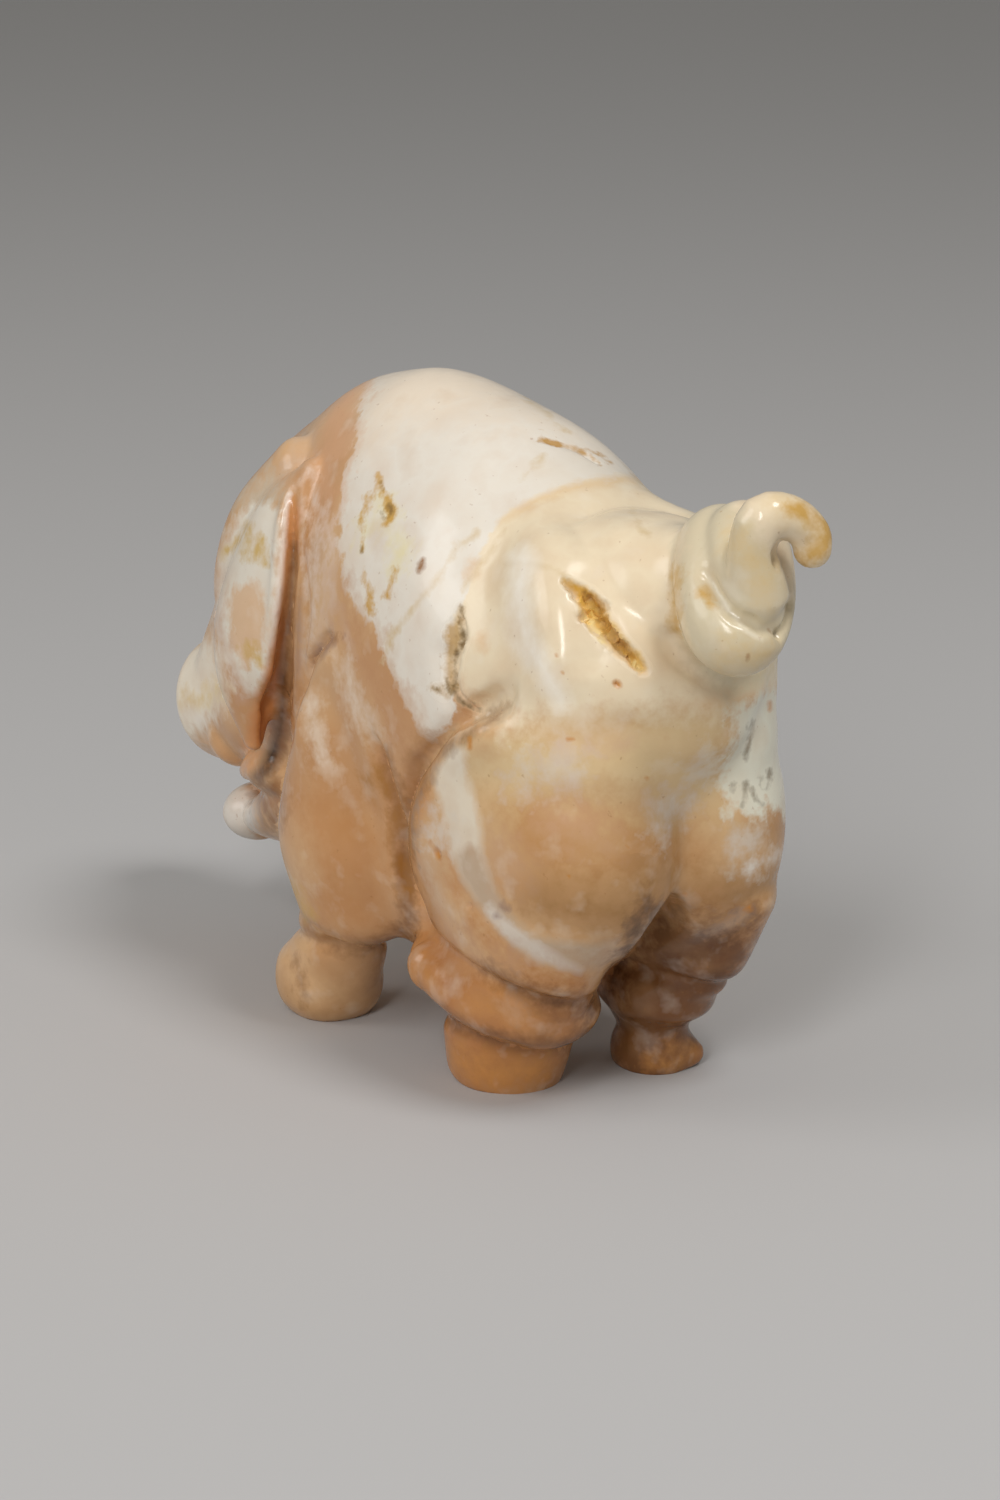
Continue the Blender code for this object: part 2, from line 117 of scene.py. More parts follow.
def ball(clay, centre, radii, squareness=2.0):
    """Adds an ellipsoid to the clay. A squareness above 2 fills out its corners."""
    place = Matrix.Translation(Vector(centre) * STEP) @ Matrix.Diagonal((*(Vector(radii) * STEP), 1))
    for point in bmesh.ops.create_icosphere(clay, subdivisions=5, radius=1)["verts"]:
        spread = sum(abs(value) ** squareness for value in point.co) ** (1 / squareness)
        point.co = place @ (point.co / spread)


def stone_from(name, clay):
    mesh = bpy.data.meshes.new(name)
    clay.to_mesh(mesh)
    clay.free()
    stone = bpy.data.objects.new(name, mesh)
    bpy.context.scene.collection.objects.link(stone)
    return stone


def applied(stone):
    """Applies the object's modifiers to its mesh."""
    bpy.context.view_layer.update()
    graph = bpy.context.evaluated_depsgraph_get()
    mesh = bpy.data.meshes.new_from_object(stone.evaluated_get(graph))
    stone.modifiers.clear()
    old = stone.data
    stone.data = mesh
    bpy.data.meshes.remove(old)


def one_skin(stone, grain):
    """Wraps everything in one closed, even surface."""
    remesh = stone.modifiers.new("one skin", "REMESH")
    remesh.mode = "VOXEL"
    remesh.voxel_size = grain * STEP
    applied(stone)


def points_of(stone):
    points = np.empty(len(stone.data.vertices) * 3)
    stone.data.vertices.foreach_get("co", points)
    return points.reshape(-1, 3)


def normals_of(stone):
    normals = np.empty(len(stone.data.vertices) * 3)
    stone.data.vertex_normals.foreach_get("vector", normals)
    return normals.reshape(-1, 3)


def set_points(stone, points):
    stone.data.vertices.foreach_set("co", points.ravel())
    stone.data.update()


def neighbour_means(points, edges):
    """For each point, the mean of the points that share an edge with it."""
    starts = np.concatenate([edges[:, 0], edges[:, 1]])
    ends = np.concatenate([edges[:, 1], edges[:, 0]])
    count = np.bincount(starts, minlength=len(points))
    sums = [np.bincount(starts, weights=points[ends, axis], minlength=len(points)) for axis in range(3)]
    return np.stack(sums, axis=1) / count[:, None]


def relaxed(stone, reach, grain, weight_at=None):
    """Rubs the surface down without shrinking it, so that edges and hollows below reach grow round."""
    points = points_of(stone)
    edges = np.empty(len(stone.data.edges) * 2, np.int32)
    stone.data.edges.foreach_get("vertices", edges)
    edges = edges.reshape(-1, 2)
    weight = 1.0 if weight_at is None else weight_at(points / STEP)[:, None]
    inward, outward = 0.55, -0.52
    for _ in range(max(1, round((reach / grain) ** 2))):
        for share in (inward, outward):
            points += share * weight * (neighbour_means(points, edges) - points)
    set_points(stone, points)


clay = bmesh.new()
trunk = (
    (0, 25.0, 33.0, 7.0, 7.6),
    (0, 19.0, 30.8, 10.6, 13.3),
    (0, 12.0, 29.0, 12.4, 17.5),
    (0, 4.0, 28.3, 12.6, 19.9),
    (0, -4.0, 28.0, 11.8, 21.2),
    (0, -10.0, 28.0, 10.4, 20.0),
    (0, -15.0, 27.5, 9.0, 17.2),
    (0, -20.0, 26.5, 8.4, 14.8),
)
swept(clay, trunk, cap=0.5)
head = (
    (0, -18.0, 28.0, 8.8, 13.5),
    (0, -22.4, 26.5, 7.4, 11.4),
    (0, -27.2, 23.2, 5.6, 7.9),
    (0, -32.0, 19.8, 4.8, 5.2),
)
swept(clay, head, cap=0.5)
# The belly hangs low between the arms and the haunches.
ball(clay, (0, 4.2, 17.0), (11.2, 7.6, 11.2), squareness=2.3)
# The right haunch, as the stone has it, is a little slimmer than the left one.
for side, slimmer in ((LEFT, 0.0), (RIGHT, 0.8)):
    ball(clay, (side * 3.9, 16.3, 30.0), (7.4 - slimmer * 0.3, 11.0, 11.5), squareness=2.2)
    ball(clay, (side * (4.6 - slimmer), 15.8, 26.0), (7.7, 11.5, 8.0), squareness=2.2)
    ball(clay, (side * (5.0 - slimmer), 15.4, 20.0), (7.9, 12.2, 10.6), squareness=2.3)
block = stone_from("rough_block", clay)
one_skin(block, ROUGH_GRAIN)
# The rear is rubbed fully round, and the chest and head a little less.
REAR_FROM, HEAD_RUBBING = 4, 0.6
relaxed(block, 3.0, ROUGH_GRAIN, lambda places: np.where(places[:, 1] > REAR_FROM, 1.0, HEAD_RUBBING))

# The legs. They stay joined to the block, fat and folded, and the tunnel between them is drilled and filed
# through. The left hind leg is a wide roll over a short foot. The right one is slimmer and stands farther
# back.
clay = bmesh.new()
clay.from_mesh(block.data)
bpy.data.objects.remove(block)
left_roll = (
    (7.1, 15.8, 16.0, 5.6, 10.4),
    (6.8, 15.2, 12.0, 5.2, 8.4),
    (6.3, 14.2, 9.0, 4.8, 7.0),
    (5.9, 13.6, 7.3, 4.6, 6.0),
)
right_roll = (
    (-6.0, 18.3, 16.0, 5.0, 8.8),
    (-5.6, 17.4, 11.0, 4.6, 7.0),
    (-5.0, 16.4, 8.0, 4.2, 5.4),
    (-4.9, 16.2, 5.6, 4.2, 4.8),
)
swept(clay, left_roll, cap=0.3)
swept(clay, right_roll, cap=0.4)
left_foot = ((5.3, 12.5, 6.6, 5.1, 5.6), (5.2, 12.0, 3.6, 4.7, 5.1), (5.2, 11.5, 0.5, 4.2, 4.4))
swept(clay, left_foot, cap=0.35)
lower_roll = (
    (6.4, 8.4, 8.9, 4.6, 2.6),
    (6.6, 11.5, 8.4, 5.6, 3.0),
    (6.4, 15.5, 7.4, 5.4, 3.0),
    (6.0, 18.6, 6.8, 4.2, 2.5),
)
swept(clay, lower_roll)
right_foot = ((-5.0, 15.9, 5.5, 3.2, 3.6), (-5.1, 15.6, 2.6, 2.9, 3.2), (-5.3, 15.4, 0.5, 3.1, 3.4))
swept(clay, right_foot, cap=0.35)
ball(clay, (-6.9, 17.4, 0.9), (1.5, 1.4, 1.1))
for side in (LEFT, RIGHT):
    arm = (
        (side * 10.4, -1.2, 28.0, 1.4, 2.4),
        (side * 10.4, -1.9, 24.0, 2.6, 4.2),
        (side * 10.1, -2.6, 19.0, 3.4, 5.8),
        (side * 9.9, -2.6, 15.0, 3.9, 6.7),
        (side * 9.2, -2.5, 10.6, 3.5, 6.1),
    )
    swept(clay, arm)
    swept(clay, ((side * 8.2, -4.6, 9.0, 3.4, 3.7), (side * 7.8, -7.2, 4.0, 3.5, 3.9)))
    ball(clay, (side * 7.8, -8.1, 2.7), (3.9, 4.1, 3.5), squareness=2.4)
block = stone_from("legged_block", clay)
one_skin(block, ROUGH_GRAIN)

clay = bmesh.new()
tunnel = (
    (-0.2, -14.0, 2.0, 2.6, 6.0),
    (-0.2, 4.0, 1.0, 2.2, 4.8),
    (0.5, 19.0, 3.0, 1.6, 11.2),
    (0.9, 24.0, 4.2, 3.2, 12.0),
    (1.2, 31.0, 4.5, 5.5, 12.8),
)
swept(clay, tunnel)
drill = stone_from("tunnel_drill", clay)
cut = block.modifiers.new("tunnel", "BOOLEAN")
cut.operation = "DIFFERENCE"
cut.solver = "EXACT"
cut.object = drill
applied(block)
bpy.data.objects.remove(drill)
one_skin(block, ROUGH_GRAIN)
relaxed(block, 0.9, ROUGH_GRAIN)

# The ears, the snout and the lower jaw. The ears are thin leaves that lie back over the cheeks, and the jaw
# ends in a small round tip. They are brought up from the same stone with a small wheel, and run into the
# head.
clay = bmesh.new()
clay.from_mesh(block.data)
bpy.data.objects.remove(block)
for side in (LEFT, RIGHT):
    ear = (
        (side * 7.8, -9.2, 41.5, 1.4, 1.0),
        (side * 9.2, -11.4, 37.0, 3.8, 1.7),
        (side * 10.1, -13.8, 30.0, 4.9, 2.0),
        (side * 10.1, -15.4, 25.0, 4.0, 1.8),
        (side * 9.6, -15.4, 20.0, 1.2, 0.9),
    )
    swept(clay, ear, across=(0, 1, 0))
    temple = (
        (side * 6.2, -13.5, 41.0, 2.6, 2.2),
        (side * 7.5, -17.0, 36.5, 3.0, 2.5),
        (side * 7.8, -19.2, 31.5, 3.2, 2.3),
        (side * 7.2, -20.6, 27.0, 2.6, 1.8),
    )
    swept(clay, temple, across=(0, 1, 0))
snout = (
    (0, -20.0, 22.0, 6.8, 5.6),
    (0, -25.0, 19.6, 6.4, 5.4),
    (0, -30.0, 18.9, 5.3, 5.8),
    (0, -35.4, 17.9, 4.9, 5.2),
)
swept(clay, snout, cap=0.4)
for side in (LEFT, RIGHT):
    ball(clay, (side * 2.4, -29.3, 16.6), (2.9, 2.9, 2.9))
jaw = (
    (0, -13.0, 15.4, 7.0, 6.4),
    (0, -20.0, 12.8, 6.0, 4.4),
    (0, -25.0, 10.7, 4.6, 2.6),
    (0, -28.4, 9.6, 3.1, 1.9),
)
swept(clay, jaw, cap=0.6)
ball(clay, (0, -30.9, 9.2), (3.1, 2.7, 2.4))
for side in (LEFT, RIGHT):
    mouth_corner = (
        (side * 5.2, -17.5, 16.6, 2.4, 2.4),
        (side * 5.0, -20.8, 15.9, 2.2, 2.0),
        (side * 4.4, -23.6, 14.9, 1.6, 1.4),
    )
    swept(clay, mouth_corner)

# The tail. It is drilled and filed out of the same stone. Seen from behind, it winds up and over to the
# left, narrows as it goes, and ends in a short hook to the right.
swept(clay, ((0, 19.5, 35.5, 8.0, 7.0), (-0.2, 24.0, 36.6, 6.0, 5.9), (0.1, 28.2, 38.4, 3.0, 4.4)))
TAIL_TURNS = 1.5
TURN_ADVANCE = 2.6
TAIL_FLATNESS = 0.3
COIL_RADIUS, RADIUS_LOSS = 3.75, 1.55
COIL_THICKNESS, THICKNESS_LOSS = 2.9, 0.7
NARROWS_FROM, NARROWS_OVER = 0.7, 0.6
lean_back, lean_right = math.radians(38), math.radians(22)
tail_root = Vector((0.2, 30.1, 38.5))
tail_axis = Vector((0, math.cos(lean_back), math.sin(lean_back)))
ring_top = Vector((-math.tan(lean_right), -math.sin(lean_back), math.cos(lean_back))).normalized()
coil = []
for turns in np.linspace(0, TAIL_TURNS, 28):
    narrowing = min(max((turns - NARROWS_FROM) / NARROWS_OVER, 0.0), 1.0)
    radius = COIL_RADIUS - RADIUS_LOSS * narrowing
    thick = COIL_THICKNESS - THICKNESS_LOSS * narrowing
    turn = 2 * math.pi * turns
    out = Vector((math.sin(turn) * TAIL_FLATNESS, 0, 0)) + ring_top * math.cos(turn)
    centre = tail_root + tail_axis * (TURN_ADVANCE * turns) + out * radius
    coil.append((*centre, thick, thick))
hook = (
    (1.7, 34.8, 42.4, 1.7, 1.7),
    (1.3, 35.3, 44.6, 1.7, 1.7),
    (-0.5, 35.9, 44.6, 1.5, 1.5),
    (-1.9, 36.3, 43.4, 1.35, 1.35),
    (-2.0, 36.4, 42.4, 1.3, 1.3),
)
coil += hook
swept(clay, coil, across=(0, 1, 0), per_span=3)
pig = stone_from("carved_pig", clay)
one_skin(pig, FINE_GRAIN)
relaxed(pig, 0.6, FINE_GRAIN)


# The folds. They are cut with small wheels and burrs and then rubbed down, so that a line is crisp on one
# side at most. A row of places is a stroke of the tool, and a negative depth leaves a ridge standing.
def near_stroke(places, path, margin):
    """Which places can be reached from the path, to save work on the others."""
    low, high = path[:, :3].min(axis=0) - margin, path[:, :3].max(axis=0) + margin
    return np.flatnonzero(((places > low) & (places < high)).all(axis=1))


def from_stroke(places, run):
    """For each place, its distance from the run and how far along the run it lies, as a share."""
    nearest = np.full(len(places), np.inf)
    along = np.zeros(len(places))
    for k, (start, end) in enumerate(zip(run, run[1:])):
        span = end[:3] - start[:3]
        share = np.clip((places - start[:3]) @ span / (span @ span), 0, 1)
        gap = np.linalg.norm(places - start[:3] - share[:, None] * span, axis=1)
        along = np.where(gap < nearest, (k + share) / (len(run) - 1), along)
        nearest = np.minimum(gap, nearest)
    return nearest, along


def laid_on(places, normals, run):
    """The run, with each point moved straight to the surface beside it."""
    laid = run.copy()
    for row in laid:
        nearest = np.argmin(((places - row[:3]) ** 2).sum(axis=1))
        row[:3] -= normals[nearest] * (normals[nearest] @ (row[:3] - places[nearest]))
    return laid


def carve(stone, path, width, depth, mirrored=False, closed=False):
    """Cuts a soft groove along a path on the surface, or raises a ridge where depth is negative."""
    points = points_of(stone)
    normals = normals_of(stone)
    places = points / STEP
    for side in (LEFT, RIGHT) if mirrored else (LEFT,):
        run = laid_on(places, normals, through(path, 4) * (side, 1, 1))
        near = near_stroke(places, run, width * 3)
        gap, along = from_stroke(places[near], run)
        # An open stroke fades over the fifth of its length at each end.
        fade = 1.0 if closed else np.clip(np.minimum(along, 1 - along) * 5 + 0.15, 0, 1)
        cut_depth = depth * fade * np.exp(-((gap / width) ** 2))
        points[near] -= normals[near] * cut_depth[:, None] * STEP
    set_points(stone, points)


def carve_ring(stone, centre, radii, width, depth):
    """Cuts a crease right round a limb."""
    ring = []
    for turn in np.linspace(0, 2 * math.pi, 17):
        ring.append((centre[0] + radii[0] * math.cos(turn), centre[1] + radii[1] * math.sin(turn), centre[2]))
    carve(stone, ring, width, depth, closed=True)


EAR_BLEND = 2.6
ear_front = ((8.9, -11.5, 41.0), (10.2, -16.5, 37.0), (11.0, -18.9, 31.0), (11.4, -18.7, 28.5))


def near_ear_fronts(places):
    """1 at the front edge of each ear, where the ear runs into the head, and 0 away from it."""
    run = through(ear_front, 4)
    gap = from_stroke(places, run)[0]
    other = from_stroke(places * (-1, 1, 1), run)[0]
    return np.exp(-((np.minimum(gap, other) / EAR_BLEND) ** 2))


relaxed(pig, 1.8, FINE_GRAIN, near_ear_fronts)

# The haunches, the hips and the rump. Each stroke is its width, its depth and the places that it passes.
haunch_strokes = {
    "haunch edge": (0.7, 1.0, (
        (10.2, 18.7, 30.3), (10.4, 16.9, 29.0), (11.0, 14.6, 27.6), (11.1, 12.2, 25.6), (11.0, 10.2, 23.4),
    )),
    "thigh front": (0.8, 1.4, (
        (11.0, 11.0, 24.4), (11.0, 9.3, 21.2), (11.0, 8.0, 17.6), (11.0, 7.4, 14.1), (10.4, 8.0, 11.8),
    )),
    "haunch brow": (1.4, -0.7, (
        (10.3, 19.9, 29.2), (11.4, 18.0, 27.4), (12.2, 15.0, 25.2), (12.7, 12.4, 21.5), (12.4, 10.8, 17.0),
    )),
    "flank fold": (1.1, 0.8, ((10.6, 15.8, 29.0), (10.4, 17.0, 29.4), (10.2, 18.7, 30.2), (9.8, 20.6, 30.8))),
    "flank hollow": (1.0, 0.3, (
        (10.7, 13.2, 33.5), (10.9, 13.4, 31.5), (11.0, 14.6, 29.4), (10.5, 16.6, 28.8),
    )),
    "hip crest": (2.2, -0.5, (
        (5.0, 14.2, 42.5), (6.0, 17.4, 41.4), (7.5, 20.3, 40.0), (9.3, 23.5, 35.3), (9.5, 23.6, 31.2),
    )),
    "hollow before hip": (2.8, 0.6, (
        (7.6, 11.6, 40.8), (9.9, 16.2, 37.1), (10.6, 19.3, 33.5), (10.6, 21.2, 31.5),
    )),
    "hollow behind hip": (1.7, 0.4, (
        (6.3, 21.2, 40.0), (7.1, 22.9, 38.4), (7.6, 24.2, 36.6), (7.8, 25.0, 34.7), (7.9, 25.4, 32.7),
    )),
    "rump crest": (1.5, -0.3, (
        (1.7, 19.0, 41.9), (3.6, 22.8, 41.0), (4.6, 25.0, 39.0), (5.0, 26.2, 36.6), (4.8, 27.0, 34.0),
    )),
}
for width, depth, path in haunch_strokes.values():
    carve(pig, path, width, depth, mirrored=True)

# The tail, and the creases under it.
tail_strokes = {
    "under coil": (0.8, 0.8, (
        (3.4, 27.6, 36.5), (2.7, 27.9, 34.9), (1.3, 28.4, 32.9), (-1.0, 28.6, 31.7), (-4.5, 27.8, 31.3),
    )),
    "under tail": (1.2, 0.25, (
        (8.2, 25.6, 29.9), (5.4, 27.5, 29.5), (0.0, 28.9, 29.4), (-5.4, 27.5, 29.0), (-8.2, 25.6, 28.8),
    )),
    "coil groove": (0.4, 0.6, (
        (3.6, 31.4, 41.0), (3.4, 32.4, 40.2), (2.6, 33.6, 38.5), (1.4, 34.3, 37.2), (0.0, 34.5, 36.6),
    )),
    "coil lip": (0.35, 0.9, ((0.3, 34.5, 36.6), (-0.3, 34.6, 37.4), (-0.9, 34.6, 38.2), (-1.6, 34.4, 38.6))),
    "hook hollow": (0.5, 1.2, ((0.9, 36.2, 43.3), (0.7, 36.2, 42.4), (0.3, 36.0, 41.5))),
}
for width, depth, path in tail_strokes.values():
    carve(pig, path, width, depth)

# The arms, the neck, the throat and the ears.
arm_and_ear_strokes = {
    "arm nick": (0.4, 0.9, ((11.6, -0.6, 31.6), (11.3, -2.2, 30.4), (11.3, -3.8, 29.0), (11.3, -4.9, 27.6))),
    "arm and neck": (0.8, 0.8, (
        (11.3, -3.6, 29.2), (11.3, -5.2, 27.0), (11.3, -6.2, 24.4), (11.3, -7.1, 21.5), (11.3, -7.9, 18.6),
    )),
    "arm brow": (0.9, -0.4, ((12.4, 0.9, 30.4), (12.2, -1.8, 28.6), (12.1, -3.4, 26.0), (12.4, -4.0, 22.0))),
    "arm and belly": (0.8, 1.1, (
        (12.2, 5.0, 25.5), (11.9, 5.8, 22.9), (11.5, 6.3, 19.5), (11.0, 6.6, 15.9), (10.0, 6.2, 12.4),
    )),
    "neck fold": (0.7, 0.3, (
        (9.9, -8.0, 36.5), (10.9, -6.2, 34.3), (11.4, -4.9, 31.6), (11.3, -5.9, 28.4), (10.9, -7.0, 25.1),
    )),
    "behind ear": (0.5, 1.2, (
        (9.9, -9.3, 40.2), (10.2, -8.9, 36.6), (10.4, -9.0, 32.7), (10.3, -10.0, 28.5), (9.9, -11.6, 25.0),
        (9.4, -13.2, 21.6), (8.6, -14.6, 18.8),
    )),
    "under ear": (1.1, 0.9, (
        (10.4, -9.2, 31.6), (10.2, -10.4, 27.4), (9.6, -12.2, 23.6), (8.8, -14.0, 20.0), (7.4, -16.0, 17.0),
    )),
    "throat fold": (0.6, 0.8, (
        (10.5, -8.2, 29.5), (10.4, -8.7, 26.3), (10.0, -10.1, 24.0), (9.4, -12.0, 21.1), (8.8, -13.8, 18.6),
    )),
    "ear rim": (0.5, -0.5, (
        (9.8, -10.0, 40.2), (10.6, -9.6, 37.0), (11.0, -9.7, 33.0), (11.2, -10.6, 28.0),
        (10.7, -12.9, 23.2),
    )),
    "ear front low": (0.6, 0.5, (
        (10.2, -19.7, 27.0), (10.0, -19.3, 24.5), (9.8, -17.9, 22.0), (9.4, -16.5, 20.0),
    )),
}
for width, depth, path in arm_and_ear_strokes.values():
    carve(pig, path, width, depth, mirrored=True)

# The ankles, the knees and the rolls above them.
carve_ring(pig, (5.5, 12.6, 4.7), (4.9, 5.4), 0.6, 0.5)
carve_ring(pig, (-5.1, 15.8, 3.0), (3.2, 3.6), 0.7, 0.4)
left_crease = (
    (10.4, 8.0, 11.3), (11.3, 10.6, 11.1), (12.0, 14.0, 10.8), (12.0, 16.8, 10.2), (11.3, 19.5, 9.5),
    (9.4, 21.8, 8.8), (7.4, 22.4, 8.4), (4.6, 22.0, 8.2),
)
carve(pig, left_crease, 0.8, 0.8)
carve_ring(pig, (-5.0, 16.4, 8.4), (4.3, 5.5), 0.8, 0.7)
for side, x, y in ((LEFT, 5.2, 11.6), (RIGHT, -4.2, 15.0)):
    knee = ((x + side * 6.0, y - 3.6, 8.8), (x + side * 6.6, y - 1.6, 8.6))
    carve(pig, knee, 1.8, -0.5)
    carve_ring(pig, (side * 8.2, -4.6, 6.7), (3.6, 4.2), 0.7, 0.5)

# The face. A small wheel sinks the eye's socket, and leaves the ball standing in it.
for side in (LEFT, RIGHT):
    eye = ((side * 6.7, -25.6, 27.4), (side * 6.9, -24.6, 27.8))
    carve(pig, eye, 1.8, 1.4)
    carve(pig, eye, 0.8, -1.1)
    lid = ((side * 5.4, -27.8, 28.4), (side * 6.4, -26.0, 29.6), (side * 7.2, -23.8, 29.4))
    carve(pig, lid, 0.6, 0.5)
    nostril = ((side * 1.7, -37.2, 18.9), (side * 1.7, -36.8, 17.4))
    carve(pig, nostril, 0.8, 1.4)
mouth = ((5.4, -20.5, 16.2), (4.4, -25.0, 13.6), (2.6, -28.6, 12.2))
carve(pig, mouth, 0.8, 0.6, mirrored=True)
one_skin(pig, FINE_GRAIN)
relaxed(pig, 0.35, FINE_GRAIN)

# The stone's faults, which the carver left as they were: a crisp-walled slot in the rump, a crevice in
# front of the haunch, and fine cracks. They lie where the camera sees them from behind the left haunch, in
# steps right of its target and above it.
TARGET = Vector((6.8, 13.1, 25.0))
DISTANCE = 264
AZIMUTH, ELEVATION = math.radians(145), math.radians(15)
back = Vector((
    math.sin(AZIMUTH) * math.cos(ELEVATION),
    -math.cos(AZIMUTH) * math.cos(ELEVATION),
    math.sin(ELEVATION),
))
rightward = Vector((-back.y, back.x, 0)).normalized()
upward = back.cross(rightward)
viewpoint = TARGET + back * DISTANCE
LENS, SENSOR = 90, 36
PICTURE = np.array((1000, 1500))
STEPS_PER_PIXEL = DISTANCE * SENSOR / LENS / PICTURE.max()
# Stone up to this far behind a surface still counts as that surface.
THIN = 1.2
# A surface that leans less than this toward the viewpoint counts as turned away.
FACING = 0.1
# A mark or hollow spreads no farther than this beyond the box around its outline or line.
SHAPE_MARGIN = 3.0


def as_seen(places):
    """How far each place appears right of the target and above it, in steps, with a third value of zero."""
    away = places - np.array(viewpoint)
    scale = DISTANCE / -(away @ np.array(back))
    across = away @ np.array(rightward) * scale
    up = away @ np.array(upward) * scale
    return np.stack([across, up, np.zeros(len(places))], axis=1)


def skin_of(stone):
    """The stone's surface, in steps, ready for rays."""
    return BVHTree.FromPolygons(
        [tuple(place) for place in points_of(stone) / STEP],
        [tuple(face.vertices) for face in stone.data.polygons],
    )


def in_view(skin, places):
    """Which places nothing else of the stone hides."""
    seen = np.zeros(len(places), bool)
    for k, place in enumerate(places):
        way = Vector(place) - viewpoint
        hit = skin.ray_cast(viewpoint, way.normalized())
        seen[k] = hit[3] is None or hit[3] > way.length - THIN
    return seen


def drawn(shape):
    """An outline, or a line with its half widths, from the picture's pixels to steps as seen."""
    rows = np.array(shape, float)
    rows[:, :2] = (rows[:, :2] - PICTURE / 2) * (1, -1)
    return rows * STEPS_PER_PIXEL


def outside(seen, shape):
    """How far each seen place lies outside the outline or line, in steps."""
    rows = np.array(shape, float)
    if rows.shape[1] == 3:
        run = through(rows, 3)
        flat = np.c_[run[:, :2], np.zeros(len(run))]
        gap, along = from_stroke(seen, flat)
        return gap - np.interp(along * (len(run) - 1), np.arange(len(run)), run[:, 2])
    ring = through(np.vstack([rows, rows[:1]]), 3)
    flat = np.c_[ring, np.zeros(len(ring))]
    gap = from_stroke(seen, flat)[0]
    inside = np.zeros(len(seen), bool)
    for start, end in zip(ring, ring[1:]):
        rise = end[1] - start[1]
        if rise:
            crosses = (start[1] > seen[:, 1]) != (end[1] > seen[:, 1])
            at = start[0] + (seen[:, 1] - start[1]) * (end[0] - start[0]) / rise
            inside ^= crosses & (seen[:, 0] < at)
    return np.where(inside, -gap, gap)


def near_shape(seen, shape):
    """Which seen places are near enough to the shape to take part in it."""
    flat = np.array([(*row[:2], 0.0) for row in shape])
    return near_stroke(seen, flat, SHAPE_MARGIN)


uncut_skin = skin_of(pig)
CRYSTALS_PER_STEP = 1.6


def sink(stone, shape, depth, wall, roughness=0.4):
    """Cuts a crisp-walled hollow of the given depth under the shape. The wall is as wide as given."""
    points = points_of(stone)
    normals = normals_of(stone)
    seen = as_seen(points / STEP)
    near = near_shape(seen, shape)
    near = near[normals[near] @ np.array(back) > FACING]
    near = near[in_view(uncut_skin, points[near] / STEP)]
    # The wall wanders and the floor is rough, as broken crystal is.
    crystals = points[near] / STEP * CRYSTALS_PER_STEP
    wander = np.array([turbulence(Vector(place), 3, False) for place in crystals])
    down = -outside(seen[near], shape) / wall + 0.5 - wander * roughness
    uneven = 1 + np.clip(wander, -0.6, 0.6) * roughness
    points[near] -= normals[near] * (np.clip(down, 0, 1) * uneven * depth * STEP)[:, None]
    set_points(stone, points)


slot = (
    (564, 580), (577, 583), (597, 597), (608, 607), (603, 613), (613, 630), (623, 643), (640, 660),
    (648, 671), (640, 673), (626, 661), (610, 645), (593, 629), (580, 618), (583, 607), (570, 590),
)
sink(pig, drawn(slot), 0.9, 0.35, 0.7)
slot_floor = ((6.3, 10.6, 0.15), (7.0, 9.6, 0.2), (7.8, 8.3, 0.15), (8.8, 7.2, 0.12))
sink(pig, slot_floor, 0.4, 0.5)
crevice_strip = ((-2.8, 9.6, 0.1), (-3.1, 8.8, 0.35), (-3.2, 7.7, 0.5), (-3.4, 6.5, 0.4), (-3.5, 5.0, 0.3))
sink(pig, crevice_strip, 0.3, 0.4)
crevice_line = (
    (-2.7, 9.5, 0.05), (-2.5, 8.0, 0.1), (-3.0, 6.5, 0.12), (-3.2, 4.8, 0.12), (-2.8, 3.7, 0.15),
    (-1.5, 2.8, 0.1),
)
sink(pig, crevice_line, 0.5, 0.3)
top_crack = ((2.7, 21.8, 0.03), (5.0, 21.3, 0.06), (6.1, 20.8, 0.1), (7.0, 20.2, 0.03))
sink(pig, top_crack, 0.25, 0.25)
haunch_pits = (
    ((-2.1, -11.0, 0.1), (-2.1, -11.1, 0.1)),
    ((-4.4, -7.2, 0.15), (-4.3, -7.5, 0.1)),
    ((8.2, 4.7, 0.12), (8.3, 4.6, 0.12)),
)
for pit in haunch_pits:
    sink(pig, pit, 0.3, 0.25)

# The polish. The soles are ground flat, so that the pig stands, and everything else is rubbed to a shine.
# The back and haunch with the fine veins and specks keep all their facets, so that the lines stay sharp.
MOST_TRIANGLES = 190000
VEINED_LOW, VEINED_HIGH = (-11, -5), (19.5, 20)
pig_seen = as_seen(points_of(pig) / STEP)[:, :2]
veined = ((pig_seen > VEINED_LOW) & (pig_seen < VEINED_HIGH)).all(axis=1)
veined &= normals_of(pig) @ np.array(back) > FACING
kept_whole = pig.vertex_groups.new(name="veined side")
kept_whole.add(np.flatnonzero(veined).tolist(), 1.0, "REPLACE")
fewer = pig.modifiers.new("fewer facets", "DECIMATE")
fewer.vertex_group = kept_whole.name
fewer.invert_vertex_group = True
fewer.ratio = min(1.0, MOST_TRIANGLES / (2 * len(pig.data.polygons)))
applied(pig)
pig.vertex_groups.clear()
clay = bmesh.new()
clay.from_mesh(pig.data)
DOWN = (0, 0, -1)
whole = clay.verts[:] + clay.edges[:] + clay.faces[:]
ground = bmesh.ops.bisect_plane(clay, geom=whole, plane_co=(0, 0, 0), plane_no=DOWN, clear_outer=True)
sole_rims = [part for part in ground["geom_cut"] if isinstance(part, bmesh.types.BMEdge)]
bmesh.ops.triangle_fill(clay, use_beauty=True, use_dissolve=True, edges=sole_rims, normal=DOWN)
bmesh.ops.triangulate(clay, faces=clay.faces)
clay.to_mesh(pig.data)
clay.free()

